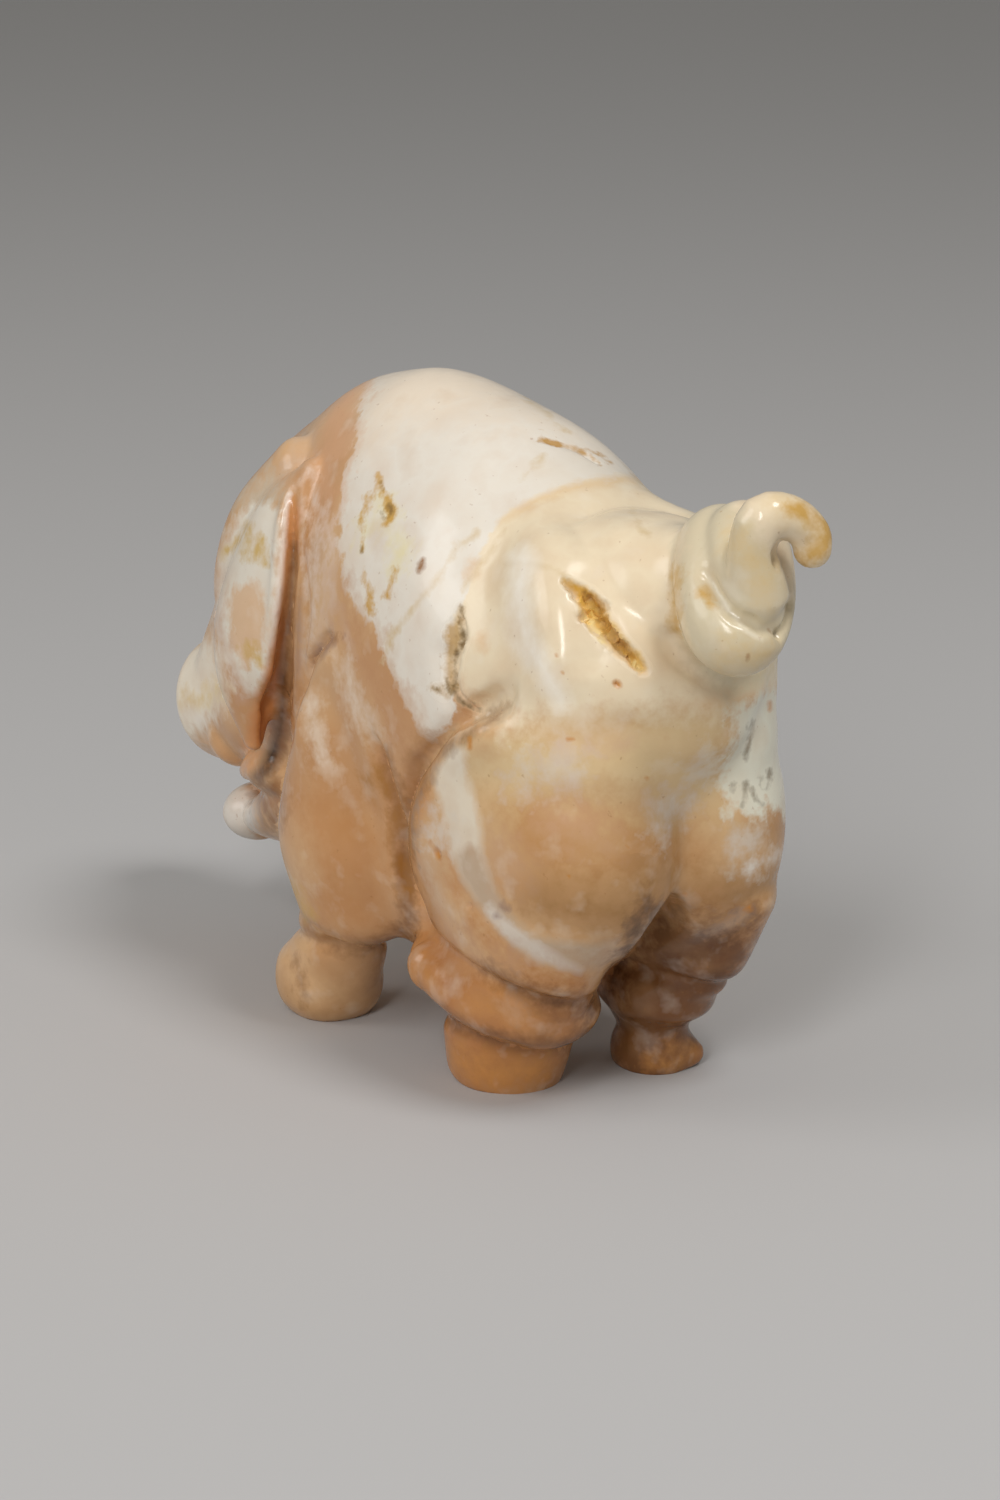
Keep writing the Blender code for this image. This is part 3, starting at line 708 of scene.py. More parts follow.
places = points_of(pig) / STEP
drawn_low, drawn_high = places.min(axis=0), places.max(axis=0)
share = (places - drawn_low) / (drawn_high - drawn_low)
set_points(pig, np.array(node_low) + share * (np.array(node_high) - np.array(node_low)))
pig.data.shade_smooth()
pig.data.set_sharp_from_angle(angle=math.radians(60))

# The stone's figure: banded marble, sawn, ground and polished. Iron has stained the cream stone tan, orange
# and gold in layers, and white bands and yellow-brown veins run through it. Each mark has its colour, how
# soft and how ragged its edge is, in steps, how strong it is, and its outlines or its lines with their half
# widths. They were placed in the picture, so they are in its pixels.
# Not every mark is the stone's colour: some are painted shade in creases, grooves, the slot and the shaded
# legs, and some are painted highlights and glow on the hip, ear rim, arm and snout. Each says so where it
# stands.
figure = (
    ("haunch beige", "DDC294", 2.2, 1.5, 0.9, [[
        (440, 770), (470, 742), (540, 716), (640, 700), (730, 700), (742, 760), (738, 840), (690, 872),
        (620, 890), (560, 880), (500, 850), (474, 815),
    ]]),
    ("haunch tan", "BE874F", 2.2, 1.5, 0.85, [[
        (490, 805), (540, 790), (620, 800), (700, 815), (725, 850), (700, 880), (640, 895), (560, 890),
        (505, 870),
    ]]),
    ("croup cream", "ECDBBC", 1.3, 1.0, 0.95, [[
        (425, 600), (455, 535), (482, 495), (525, 468), (600, 445), (680, 440), (760, 440), (860, 470),
        (860, 600), (800, 690), (720, 706), (600, 716), (530, 724), (492, 722), (470, 702), (438, 680),
    ]]),
    ("back white", "E8DFD1", 0.16, 0.45, 1.0, [[
        (364, 390), (356, 412), (357, 432), (352, 455), (344, 470), (342, 500), (338, 537), (343, 555),
        (341, 572), (348, 597), (362, 614), (375, 630), (382, 657), (397, 682), (410, 710), (424, 735),
        (433, 742), (446, 726), (456, 712), (452, 690), (448, 660), (456, 620), (468, 590), (483, 548),
        (506, 517), (533, 500), (567, 486), (600, 479), (629, 476), (662, 482), (720, 440), (600, 330),
        (420, 330),
    ]]),
    ("back warm", "EED9BE", 1.8, 1.0, 0.6, [[
        (362, 392), (358, 425), (368, 450), (400, 425), (470, 415), (560, 420), (640, 458), (660, 440),
        (560, 350), (420, 340),
    ]]),
    ("croup arc", "E2BE8C", 0.25, 0.3, 0.5, [[
        (500, 522, 3), (533, 502, 4), (567, 489, 4), (600, 482, 4), (629, 479, 4), (655, 482, 3),
    ]]),
    ("shoulder orange", "D9A478", 0.8, 0.8, 0.85, [[
        (330, 390), (322, 420), (314, 450), (308, 490), (316, 530), (330, 530), (338, 500), (340, 472),
        (350, 452), (355, 430), (354, 410), (362, 390), (372, 384), (350, 372),
    ]]),
    ("temple pink", "CDB298", 0.9, 0.8, 0.7, [[(302, 440, 8), (286, 470, 11), (262, 492, 8)]]),
    ("neck pink", "DDBFA6", 0.9, 1.2, 0.6, [[(322, 520, 9), (321, 560, 10), (326, 600, 9), (318, 640, 6)]]),
    ("neck streaks", "E8D2C0", 0.4, 0.5, 0.6, [
        [(301, 500, 1), (305, 560, 2), (304, 620, 1.5), (300, 680, 1)],
        [(313, 470, 1), (317, 540, 2), (314, 600, 2), (308, 640, 1)],
        [(327, 505, 1.5), (332, 560, 2.5), (330, 610, 2)],
        [(338, 600, 1), (346, 630, 2), (356, 655, 1)],
    ]),
    ("belly tan", "C28E60", 1.2, 1.0, 0.85, [[
        (341, 575), (352, 606), (372, 636), (380, 662), (394, 688), (408, 716), (424, 742), (436, 752),
        (424, 790), (410, 830), (400, 830), (390, 770), (372, 710), (350, 660), (336, 620),
    ]]),
    ("low flank", "A97A48", 1.0, 0.8, 0.75, [[(430, 742, 6), (418, 770, 8), (408, 805, 7), (404, 850, 6)]]),
    ("gold between", "C58545", 1.0, 0.9, 0.8, [
        [(452, 850, 5), (462, 885, 8), (480, 920, 9), (506, 950, 9), (540, 972, 7), (575, 985, 5)],
        [(424, 790, 5), (421, 812, 5)],
    ]),
    # The gold stain low on the haunches, darkened further as painted shade where the surface turns down.
    ("gold low and painted shade", "93652A", 2.4, 0.7, 0.85, [
        [(540, 900, 10), (580, 912, 18), (620, 912, 20), (650, 890, 16)],
        [(705, 900, 16), (745, 892, 20), (780, 880, 20)],
        [(762, 835, 10), (780, 828, 10)],
    ]),
    ("band one", "E6D8C2", 0.35, 0.2, 1.0, [[
        (456, 756, 10), (451, 777, 16), (457, 802, 17), (463, 823, 17), (466, 846, 16), (473, 869, 13),
        (482, 890, 10),
    ]]),
    # The same white band as above, darkened as painted shade where it runs low and turns under.
    ("band one low in painted shade", "C6AC90", 0.4, 0.25, 1.0, [[
        (470, 858, 12), (475, 874, 13), (484, 894, 12), (504, 922, 10), (529, 944, 11), (558, 954, 13),
        (585, 956, 13), (614, 954, 12),
    ]]),
    ("band one edge", "DCCFC0", 0.25, 0.25, 0.9, [[
        (488, 908, 4.5), (500, 922, 6), (516, 936, 7.5), (538, 951, 7.5), (556, 961, 6), (580, 970, 3),
    ]]),
    ("band two", "D6BA9C", 0.5, 0.6, 0.6, [[
        (426, 857, 5), (431, 882, 6), (446, 912, 6), (462, 938, 6), (484, 962, 5), (505, 978, 3),
    ]]),
    ("pale mottles", "E2DBD0", 1.1, 1.6, 0.6, [
        [(520, 785, 5), (528, 772, 8)],
        [(548, 776, 6), (560, 762, 12), (574, 770, 8)],
        [(660, 825, 8), (672, 806, 12), (684, 800, 6)],
        [(738, 852, 10), (748, 832, 9)],
        [(440, 836, 8), (434, 815, 6)],
        [(700, 770, 10), (712, 764, 10)],
    ]),
    ("pink mottles", "CFA687", 1.5, 1.5, 0.5, [
        [(500, 850, 10), (515, 872, 12)],
        [(560, 820, 16), (600, 832, 14)],
        [(560, 742, 8), (620, 736, 6)],
    ]),
    ("green white", "E4E2D0", 0.4, 0.7, 0.95, [[
        (729, 715), (754, 696), (775, 690), (800, 700), (800, 812), (781, 812), (768, 806), (754, 821),
        (738, 812), (726, 816), (721, 794), (724, 769), (733, 744),
    ]]),
    ("white streaks", "EBE3D8", 0.5, 0.6, 0.8, [
        [(756, 864, 2), (766, 859, 4), (777, 855, 5), (790, 850, 4)],
        [(704, 938, 3), (720, 930, 5), (736, 922, 5), (746, 914, 2)],
        [(760, 878, 2), (750, 868, 3)],
    ]),
    ("right grey", "B7A68E", 1.0, 1.2, 0.5, [
        [(640, 950, 8), (655, 930, 9), (672, 915, 8)],
        [(700, 968, 6), (716, 955, 6)],
    ]),
    ("legs orange", "AE6C32", 2.0, 1.2, 0.8, [
        [(430, 925), (470, 950), (530, 975), (600, 980), (620, 960), (604, 1030), (560, 1100), (430, 1100),
         (400, 960)],
        [(640, 965), (770, 920), (745, 1085), (630, 1090)],
    ]),
    ("leg knee", "C98B4C", 0.8, 0.8, 0.7, [
        [(420, 945, 6), (422, 965, 8), (432, 990, 8)],
        [(498, 990, 10), (530, 1015, 10), (470, 1000, 9)],
    ]),
    # Painted shade: the right hind leg, which stands in shade behind the left one, darkened to deep brown.
    ("right leg painted shade", "5F3819", 1.3, 1.0, 0.8, [[
        (648, 900), (700, 922), (745, 930), (757, 955), (735, 1000), (720, 1015), (690, 1090), (620, 1090),
        (600, 1020), (635, 945),
    ]]),
    ("leg shade", "5A3517", 0.8, 0.6, 0.85, [
        [(440, 1016, 1), (468, 1030, 3), (520, 1044, 4), (570, 1044, 4), (594, 1034, 3)],
        [(487, 968, 2), (515, 988, 5), (545, 1003, 8), (595, 1005, 7)],
        [(752, 912, 2), (730, 934, 4), (700, 955, 4), (665, 964, 3)],
        [(662, 985, 3), (690, 988, 4), (725, 974, 3)],
    ]),
    ("foot orange", "D0904C", 1.0, 1.0, 0.8, [
        [(460, 1060, 10), (500, 1075, 12), (545, 1068, 8)],
        [(660, 1060, 7), (690, 1055, 5)],
    ]),
    ("front foot", "B98A58", 1.5, 1.2, 0.6, [[
        (285, 985, 10), (300, 1010, 12), (350, 1010, 14), (385, 990, 12),
    ]]),
    ("front foot shade", "8C5F34", 0.6, 0.6, 0.7, [
        [(304, 926, 2), (322, 938, 3), (342, 948, 4), (372, 946, 4), (402, 925, 3)],
        [(296, 960, 1), (301, 983, 1.4), (305, 1000, 1)],
    ]),
    # Painted shade in the crease along the front edge of the haunch, where it stands over the belly.
    ("haunch crease painted shade", "8A6036", 0.5, 0.5, 0.75, [[
        (508, 706, 2), (490, 722, 4), (462, 738, 4), (446, 752, 3), (430, 775, 3), (414, 805, 3),
        (408, 850, 4), (408, 890, 4), (415, 925, 4),
    ]]),
    # Painted shade in the crease between the arm and the belly.
    ("arm crease painted shade", "774A22", 0.6, 0.5, 0.8, [[
        (384, 752, 2), (394, 790, 4), (402, 840, 5), (405, 890, 6), (408, 935, 6),
    ]]),
    # Painted shade in the cleft between the hind legs.
    ("cleft painted shade", "553620", 0.5, 0.4, 0.85, [[
        (654, 903, 3), (640, 918, 5), (630, 942, 7), (617, 972, 7), (604, 1003, 5),
    ]]),
    ("leg pink", "CFAE92", 0.7, 0.9, 0.4, [
        [(510, 1003, 5), (518, 1010, 7)],
        [(500, 950, 3), (515, 962, 4)],
        [(450, 968, 3), (456, 980, 3)],
    ]),
    ("ear grey", "C8B8A0", 0.8, 0.8, 0.8, [[
        (268, 468), (282, 500), (268, 512), (244, 514), (232, 506), (248, 482),
    ]]),
    ("ear white", "E6DDCD", 0.4, 0.45, 1.0, [[
        (256, 503), (270, 503), (282, 520), (280, 558), (278, 595), (274, 628), (269, 664), (260, 686),
        (246, 694), (233, 672), (221, 645), (213, 620), (214, 587), (219, 558), (228, 533), (241, 512),
    ]]),
    ("ear tan", "DDB58C", 0.4, 0.6, 0.85, [[
        (234, 586), (252, 583), (264, 598), (266, 628), (260, 652), (245, 666), (233, 652), (227, 628),
        (228, 603),
    ]]),
    # Painted shade along the soft crease at the front edge of the ear.
    ("ear front painted shade", "C9A58E", 0.6, 0.6, 0.6, [[
        (221, 575, 3), (217, 605, 4), (222, 640, 4), (232, 668, 4), (244, 700, 5),
    ]]),
    ("ear yellow", "CFA850", 0.4, 0.5, 0.9, [
        [(226, 552, 3), (238, 541, 2.5)],
        [(246, 528, 3), (247, 540, 2.5), (248, 554, 5), (257, 551, 4)],
        [(263, 541, 3), (266, 562, 3)],
        [(248, 646, 5), (258, 660, 4)],
    ]),
    # Painted highlight: a near-white line along the ear's crisp rim.
    ("ear rim", "FBF2E8", 0.2, 0.1, 1.0, [[
        (290, 494, 1.4), (286, 510, 1.8), (284, 535, 2), (282, 560, 2), (279, 590, 2.4), (276, 618, 2.2),
        (272, 645, 1.6),
    ]]),
    # Painted shade, warm orange-brown, in the groove behind the ear's rim.
    ("ear groove painted shade", "CE8448", 0.4, 0.3, 0.85, [[
        (293, 500, 2), (294, 516, 4), (290, 557, 3), (287, 595, 3), (281, 637, 5), (274, 674, 7),
        (264, 712, 10), (254, 745, 9), (246, 764, 6),
    ]]),
    # Painted shade: the deepest, darkest part of the groove behind the ear, down to the corner of the mouth.
    ("darkest painted shade behind ear", "3C2010", 0.4, 0.1, 0.95, [[
        (294, 545, 1), (291, 590, 1.6), (288, 635, 2.5), (285, 668, 3.5), (283, 700, 4), (281, 728, 6),
        (272, 758, 8), (258, 776, 6),
    ]]),
    # Painted shade in a fold down the side of the neck.
    ("neck groove painted shade", "96602F", 0.5, 0.4, 0.7, [[
        (298, 600, 2), (298, 640, 3), (297, 680, 4), (291, 705, 4), (285, 735, 4), (280, 760, 4),
    ]]),
    ("snout cream", "F0E4D0", 0.8, 0.6, 1.0, [[
        (170, 655), (205, 640), (222, 660), (226, 690), (214, 716), (196, 740), (170, 730),
    ]]),
    ("snout yellow", "DDB85F", 0.7, 0.8, 0.6, [[(190, 700, 4), (203, 698, 6), (216, 690, 5)]]),
    # Painted highlight on the upper side of the snout.
    ("snout painted highlight", "F0E6D8", 0.5, 0.5, 0.8, [[(190, 716, 4), (201, 722, 6)]]),
    # Painted glow: the warm orange of light shining through the thin lower rim of the snout.
    ("snout rim painted glow", "E6AE78", 0.9, 0.5, 0.85, [[
        (206, 748, 5), (222, 760, 8), (240, 764, 9), (254, 752, 8),
    ]]),
    ("jaw white", "E4DED4", 0.5, 0.5, 0.9, [[
        (218, 790), (240, 782), (254, 790), (257, 815), (250, 846), (220, 846),
    ]]),
    ("jaw brown", "7E5026", 0.7, 0.6, 0.85, [[
        (258, 785, 6), (264, 800, 7), (272, 820, 9), (278, 806, 7), (272, 785, 8),
    ]]),
    # Painted highlight: pale streaks of sheen down the lit front and left side of the arm.
    ("arm painted highlight", "EEDDC8", 0.7, 0.8, 0.65, [
        [(331, 650, 2), (342, 664, 5), (352, 690, 7), (362, 715, 6), (374, 738, 4)],
        [(312, 705, 5), (316, 735, 8), (326, 765, 5), (334, 784, 2)],
    ]),
    ("arm orange", "C08650", 1.5, 1.0, 0.75, [[
        (300, 800, 18), (330, 820, 30), (350, 860, 34), (345, 900, 34),
    ]]),
    # Painted shade in the nick at the top of the arm.
    ("arm nick", "8A5426", 0.3, 0.3, 0.85, [[
        (340, 634, 1.5), (331, 642, 3.5), (320, 655, 2.5), (314, 664, 1.2),
    ]]),
    ("arm yellow", "B27A33", 0.6, 0.8, 0.75, [
        [(378, 765, 3), (384, 780, 5), (392, 800, 5), (398, 830, 4)],
        [(366, 778, 3), (372, 786, 3)],
        [(400, 850, 4), (404, 890, 4)],
    ]),
    ("arm streak", "DDB24E", 0.5, 0.5, 0.6, [[(290, 884, 2), (298, 898, 3.5), (310, 915, 3.5)]]),
    ("vein pale", "E9DBA4", 0.7, 0.8, 0.7, [
        [(392, 530, 5), (402, 545, 8), (396, 562, 5), (392, 575, 3)],
        [(384, 500, 7), (388, 520, 7)],
        [(366, 520, 3), (362, 545, 2)],
    ]),
    ("vein yellow", "CC9A3C", 0.22, 0.45, 0.9, [
        [(379, 477, 2.5), (384, 490, 3.5), (389, 504, 4.5), (391, 516, 4), (386, 524, 2.5)],
        [(378, 482, 2), (370, 498, 2.5), (364, 516, 2), (361, 530, 1)],
        [(362, 540, 2), (363, 550, 1.5)],
        [(364, 566, 1), (366, 585, 1.5), (369, 601, 3), (372, 613, 2)],
        [(396, 569, 1.5), (391, 585, 2), (386, 597, 1.5)],
    ]),
    ("vein dark", "80602E", 0.16, 0.3, 0.8, [
        [(390, 506, 1.5), (391, 512, 1)],
        [(381, 512, 1), (384, 518, 1.5)],
        [(382, 483, 1), (384, 489, 1)],
        [(361, 546, 1), (362, 552, 1)],
    ]),
    ("brown spot", "905C1E", 0.14, 0.15, 1.0, [[(423, 559, 2.5), (421, 565, 4), (419, 570, 2)]]),
    ("orange smear", "E2BD90", 0.5, 0.5, 0.7, [
        [(474, 563, 3), (470, 573, 4)],
        [(481, 640, 5), (484, 646, 4)],
    ]),
    ("top crack", "B8862F", 0.12, 0.25, 0.9, [
        [(539, 440, 1.5), (550, 442, 2.5), (571, 447, 1.5), (587, 454, 2.5), (600, 463, 1)],
        [(580, 449, 1), (598, 455, 1.5), (612, 462, 1)],
        [(538, 430, 1.5), (541, 431, 1.5)],
    ]),
    ("faint lines", "D6BC90", 0.25, 0.35, 0.75, [
        [(475, 534, 2), (454, 551, 2), (437, 580, 2.2), (412, 609, 2), (390, 642, 1.8), (383, 662, 1)],
        [(505, 528, 1), (484, 560, 1.5), (462, 590, 1)],
        [(505, 565, 0.8), (525, 563, 1), (546, 567, 1), (564, 574, 0.8)],
        [(548, 452, 0.8), (534, 466, 0.8), (523, 478, 0.7)],
        [(521, 392, 0.7), (545, 412, 0.8), (567, 432, 0.6)],
        [(633, 512, 0.9), (640, 526, 0.9), (650, 538, 0.8)],
    ]),
    # Painted highlight: a broad white sheen down the hip ridge.
    ("hip painted sheen", "FDF6EA", 0.9, 0.4, 0.85, [[
        (524, 560, 9), (520, 600, 8), (526, 640, 9), (545, 670, 8), (560, 700, 5),
    ]]),
    ("crevice strip", "B8935A", 0.3, 0.5, 0.9, [
        [(460, 608, 0.8), (458, 622, 4), (454, 634, 7), (455, 642, 7), (451, 655, 4), (451, 675, 4),
         (452, 688, 5)],
        [(438, 690, 3), (445, 694, 3)],
    ]),
    ("crevice dark", "6E5524", 0.16, 0.3, 0.85, [
        [(461, 607, 0.7), (459, 622, 1), (464, 637, 2), (460, 648, 1.4), (457, 658, 1.6), (456, 672, 1.4),
         (454, 686, 1.6), (458, 698, 2), (466, 705, 1.6), (479, 710, 1.3)],
        [(437, 689, 1.5), (440, 692, 1.2)],
        [(447, 680, 0.9), (449, 690, 1.1)],
    ]),
    ("slot yellow", "DDAE40", 0.25, 0.3, 0.95, [[
        (566, 583, 2), (576, 588, 5), (588, 600, 10), (594, 612, 11), (604, 626, 10), (616, 640, 8),
        (630, 655, 7), (643, 668, 4),
    ]]),
    # Painted shade on the slot's right wall.
    ("slot wall painted shade", "9B6C30", 0.25, 0.4, 0.8, [[
        (585, 592, 2.5), (598, 604, 4), (600, 614, 4), (609, 628, 3), (619, 640, 3), (632, 656, 2),
    ]]),
    ("slot pale", "F0DC9C", 0.2, 0.4, 0.8, [
        [(586, 616, 2), (594, 628, 2), (604, 638, 2)],
        [(635, 664, 2), (642, 670, 2.5)],
    ]),
    ("dots", "C67E1C", 0.14, 0.1, 0.9, [
        [(616, 683, 3), (618, 685, 3)],
        [(568, 739, 1.2), (574, 739, 1.2)],
        [(470, 738, 1.5), (470, 748, 2)],
        [(627, 846, 1.2), (628, 847, 1.2)],
        [(569, 877, 1.5), (570, 878, 1.2)],
        [(646, 777, 1.2), (647, 778, 1.2)],
        [(685, 894, 1.7), (686, 895, 1.5)],
        [(745, 912, 2.2), (750, 908, 3)],
        [(770, 703, 2), (770, 710, 1.5)],
        [(556, 655, 1.2), (557, 656, 1.2)],
        [(562, 672, 1.2), (563, 673, 1.2)],
        [(436, 850, 2.2), (440, 858, 2)],
        [(430, 842, 1.5), (431, 845, 1.5)],
    ]),
    ("plum dots", "8E6A5C", 0.3, 0.2, 0.85, [
        [(505, 905, 3.2), (508, 907, 2.8)],
        [(497, 916, 1.8), (498, 917, 1.8)],
    ]),
    ("grey streaks", "8C7F6A", 0.18, 0.35, 0.8, [
        [(753, 722, 1.5), (751, 735, 2.2), (748, 748, 2), (746, 758, 1.2)],
        [(733, 784, 1.2), (732, 792, 1.2)],
        [(746, 783, 1.2), (744, 796, 2), (741, 806, 1.5)],
        [(753, 788, 1.2), (757, 799, 1.5), (762, 804, 1.2)],
        [(770, 770, 1.2), (768, 784, 1.5), (765, 794, 1.2)],
        [(761, 778, 1.2), (760, 786, 1.2)],
    ]),
    ("tail cream", "D2C5A6", 0.6, 0.6, 0.8, [[
        (690, 505), (720, 498), (748, 520), (775, 560), (800, 600), (796, 650), (760, 690), (715, 686),
        (690, 660), (678, 620), (676, 560),
    ]]),
    ("tail gold", "DDBB7C", 1.2, 1.0, 0.6, [
        [(735, 545, 8), (755, 560, 10), (765, 590, 8)],
        [(780, 500, 6), (805, 515, 8), (820, 535, 8), (815, 560, 7)],
        [(730, 655, 10), (765, 655, 8)],
    ]),
    ("tail yellow", "C99733", 0.5, 0.6, 0.8, [
        [(704, 594, 5), (708, 602, 4)],
        [(808, 560, 8), (820, 548, 10), (828, 530, 8), (812, 515, 6), (790, 508, 4)],
        [(676, 570, 3), (675, 600, 3), (677, 630, 3)],
    ]),
    ("tail ridge", "F1E8D4", 0.2, 0.2, 0.7, [[
        (704, 572, 1), (719, 594, 1.6), (739, 624, 1.8), (762, 640, 1.8),
    ]]),
    ("tail crack", "A06C38", 0.12, 0.2, 0.8, [
        [(760, 636, 0.8), (761, 644, 0.7)],
        [(748, 655, 0.7), (747, 660, 0.7)],
        [(768, 629, 1.6), (770, 631, 1.5)],
    ]),
    ("coil shade", "C9AC8A", 0.8, 0.8, 0.5, [[(690, 672, 5), (705, 690, 7), (728, 697, 5)]]),
)

# Each mark is kept on the stone as a gap, which is how far a place lies outside it. The gap is FAR where no
# part of the mark is near, and at least HIDDEN where a line would fall on the far side.
HIDDEN, FAR = 4.0, 50.0
JUST_OFF = 0.1
pig_places = points_of(pig) / STEP
pig_seen = as_seen(pig_places)
shown = in_view(skin_of(pig), pig_places + normals_of(pig) * JUST_OFF)
for name, _, _, _, _, shapes in figure:
    gap = np.full(len(pig_places), FAR)
    for shape in map(drawn, shapes):
        near = near_shape(pig_seen, shape)
        apart = outside(pig_seen[near], shape)
        if len(shape[0]) == 3:
            # A line lies on the near surface only. An outline goes on through the stone.
            apart = np.where(shown[near], apart, np.maximum(apart, HIDDEN))
        gap[near] = np.minimum(gap[near], apart)
    mark = pig.data.attributes.new(name, "FLOAT", "POINT")
    mark.data.foreach_set("value", gap.astype(np.float32))


def linear(hex_colour):
    """A linear colour for the shader from an sRGB hex value."""
    parts = [int(hex_colour[k:k + 2], 16) / 255 for k in (0, 2, 4)]
    return (*((part / 12.92 if part <= 0.04045 else ((part + 0.055) / 1.055) ** 2.4) for part in parts), 1.0)


def add_node(tree, kind, settings=None, links=None):
    """Adds a node. A link's value is the socket that feeds the input, or a plain value for it."""
    node = tree.nodes.new(kind)
    for name, value in (settings or {}).items():
        setattr(node, name, value)
    for name, source in (links or {}).items():
        if isinstance(source, bpy.types.NodeSocket):
            tree.links.new(source, node.inputs[name])
        else:
            node.inputs[name].default_value = source
    return node


# Polished marble: a gloss with soft, broad highlights, over a body colour that hides every tool mark. The
# stone's own grain, about 0.1 mm, is too fine to show, so the finest cloud is drawn 0.5 mm wide.
MM = 1000.0
marble = bpy.data.materials.new("banded marble")
marble.use_nodes = True
tree = marble.node_tree
shader = tree.nodes["Principled BSDF"]
spot = add_node(tree, "ShaderNodeTexCoord").outputs["Object"]


def noise(size_mm, detail, roughness=0.5, shift=(0, 0, 0)):
    """Cloudy noise from 0 to 1, whose clouds are about as wide as the given size."""
    moved = add_node(tree, "ShaderNodeMapping", links={
        "Vector": spot,
        "Scale": (MM / size_mm, MM / size_mm, MM / size_mm),
        "Location": shift,
    })
    cloud = add_node(tree, "ShaderNodeTexNoise", links={
        "Vector": moved.outputs[0],
        "Scale": 1.0,
        "Detail": detail,
        "Roughness": roughness,
    })
    return cloud.outputs["Fac"]


def ranged(value, low, high, to_low=0.0, to_high=1.0):
    """The value, moved from one range to another and held within it."""
    return add_node(tree, "ShaderNodeMapRange", links={
        "Value": value,
        "From Min": low,
        "From Max": high,
        "To Min": to_low,
        "To Max": to_high,
    }).outputs[0]


def maths(operation, first, second):
    return add_node(tree, "ShaderNodeMath", {"operation": operation}, {0: first, 1: second}).outputs[0]


def tinted(under, hex_colour, share):
    """The colour under, with another one laid over it by the given share."""
    factor, under_socket, over_socket = 0, 6, 7
    mix = add_node(tree, "ShaderNodeMix", {"data_type": "RGBA"}, {
        factor: share,
        under_socket: under,
        over_socket: linear(hex_colour),
    })
    return mix.outputs[2]


# Broad clouds of stain, and finer mottling within them.
broad = noise(14.0, 3.0)
middling = noise(4.0, 4.0, shift=(3.1, 7.7, 1.3))
fine = noise(0.9, 3.0, shift=(9.2, 4.1, 6.6))
ragged_edge = noise(1.3, 3.0, 0.6, shift=(5.0, 2.0, 8.0))
stone = tinted(linear("C89666"), "D6AC7E", ranged(broad, 0.42, 0.60))
stone = tinted(stone, "B8804A", ranged(noise(9.0, 3.0, shift=(1.7, 5.2, 4.4)), 0.52, 0.68, 0.0, 0.6))
for name, colour, softness, raggedness, strength, shapes in figure:
    gap = add_node(tree, "ShaderNodeAttribute", {"attribute_name": name}).outputs["Fac"]
    uneven = maths("ADD", gap, ranged(ragged_edge, 0.25, 0.75, -raggedness, raggedness))
    share = ranged(uneven, -softness, softness, strength, 0.0)
    patchy = maths("MULTIPLY", share, ranged(middling, 0.3, 0.55, 0.78, 1.0))
    stone = tinted(stone, colour, patchy)
stone = tinted(stone, "C79C6E", ranged(middling, 0.55, 0.72, 0.0, 0.22))
stone = tinted(stone, "F0E6D8", ranged(noise(2.2, 3.0, shift=(8.0, 1.0, 3.0)), 0.56, 0.72, 0.0, 0.18))
stone = tinted(stone, "A06C3A", ranged(noise(0.5, 2.0, shift=(2.0, 6.0, 9.0)), 0.71, 0.77, 0.0, 0.35))
tree.links.new(stone, shader.inputs["Base Color"])
# The faults were never reached by the polish, so they stay dull.
dull = 0.0
for name in ("slot yellow", "crevice strip", "crevice dark"):
    gap = add_node(tree, "ShaderNodeAttribute", {"attribute_name": name}).outputs["Fac"]
    dull = maths("MAXIMUM", dull, ranged(gap, 0.1, 0.5, 0.45, 0.0))
gloss = maths("ADD", ranged(fine, 0.3, 0.7, 0.17, 0.24), dull)
tree.links.new(gloss, shader.inputs["Roughness"])
shader.inputs["IOR"].default_value = 1.5
wear = add_node(tree, "ShaderNodeBump", links={
    "Strength": 0.25,
    "Distance": 0.05 / MM,
    "Height": maths("ADD", fine, noise(2.5, 3.0, shift=(4.0, 4.0, 0.0))),
})
tree.links.new(wear.outputs[0], shader.inputs["Normal"])
pig.data.materials.clear()
pig.data.materials.append(marble)

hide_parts("pig_carving")
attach(pig, "root")

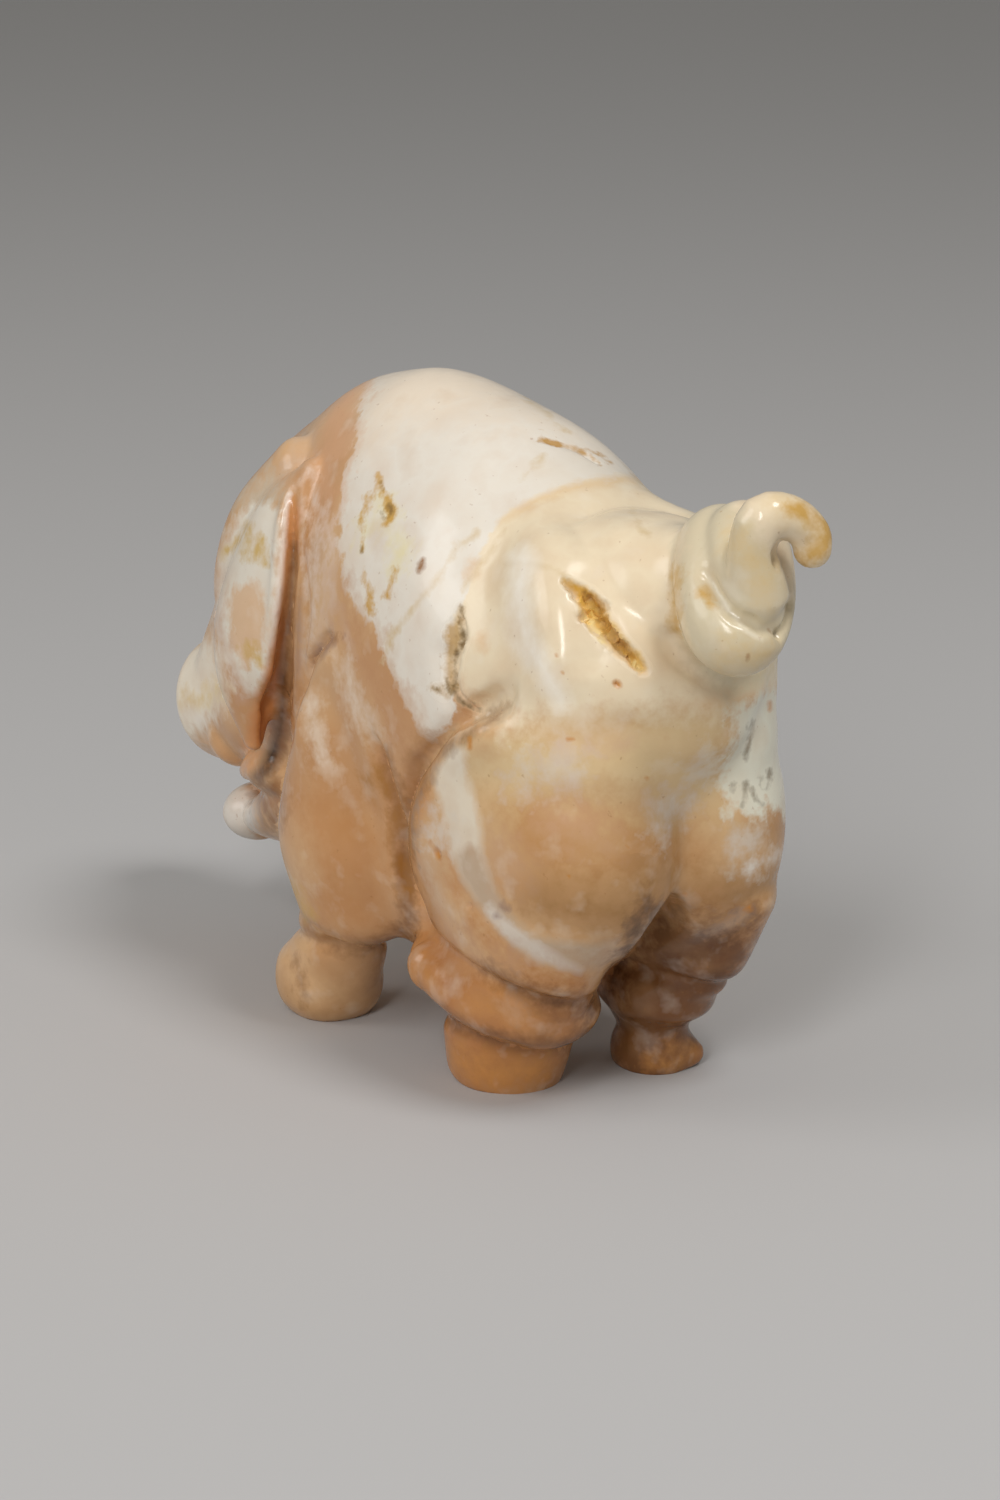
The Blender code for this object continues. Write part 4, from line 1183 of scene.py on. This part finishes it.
# The stand-in room: a plain pale paper floor that the pig stands on, soft light, and the camera behind its
# left haunch.
lens = bpy.data.cameras.new("camera")
lens.lens = LENS
lens.sensor_width = SENSOR
lens.clip_start = 0.01
camera = bpy.data.objects.new("camera", lens)
camera.location = viewpoint * STEP
camera.rotation_mode = "QUATERNION"
camera.rotation_quaternion = (-back).to_track_quat("-Z", "Y")
bpy.context.scene.collection.objects.link(camera)
bpy.context.scene.camera = camera

floor_mesh = bpy.data.meshes.new("floor")
HALF_FLOOR = 2.0
corners = [(x * HALF_FLOOR, y * HALF_FLOOR, 0) for x, y in ((-1, -1), (1, -1), (1, 1), (-1, 1))]
floor_mesh.from_pydata(corners, [], [(0, 1, 2, 3)])
floor = bpy.data.objects.new("floor", floor_mesh)
bpy.context.scene.collection.objects.link(floor)
paper = bpy.data.materials.new("pale paper")
paper.use_nodes = True
paper_shader = paper.node_tree.nodes["Principled BSDF"]
paper_shader.inputs["Base Color"].default_value = linear("BFBDBC")
paper_shader.inputs["Roughness"].default_value = 0.9
floor_mesh.materials.append(paper)

world = bpy.data.worlds.new("soft room")
bpy.context.scene.world = world
world.use_nodes = True
sky = world.node_tree.nodes["Background"]
sky.inputs["Color"].default_value = linear("E7E6E2")
sky.inputs["Strength"].default_value = 0.35


def softbox(name, azimuth, elevation, distance, size, power):
    """A soft light of the given width and height, which faces the pig from the given way, in degrees."""
    turn, rise = math.radians(azimuth), math.radians(elevation)
    way = Vector((math.sin(turn) * math.cos(rise), -math.cos(turn) * math.cos(rise), math.sin(rise)))
    light = bpy.data.lights.new(name, "AREA")
    light.shape = "ELLIPSE"
    light.size, light.size_y = size
    light.energy = power
    lamp = bpy.data.objects.new(name, light)
    lamp.location = TARGET * STEP + way * distance
    lamp.rotation_mode = "QUATERNION"
    lamp.rotation_quaternion = (-way).to_track_quat("-Z", "Y")
    bpy.context.scene.collection.objects.link(lamp)


softbox("key", 190, 62, 0.5, (0.16, 0.16), 0.95)
softbox("window", 128, 32, 0.8, (0.16, 0.5), 2.4)
softbox("fill", 62, 30, 0.9, (0.5, 0.5), 1.5)

bpy.context.scene.view_settings.view_transform = "Standard"
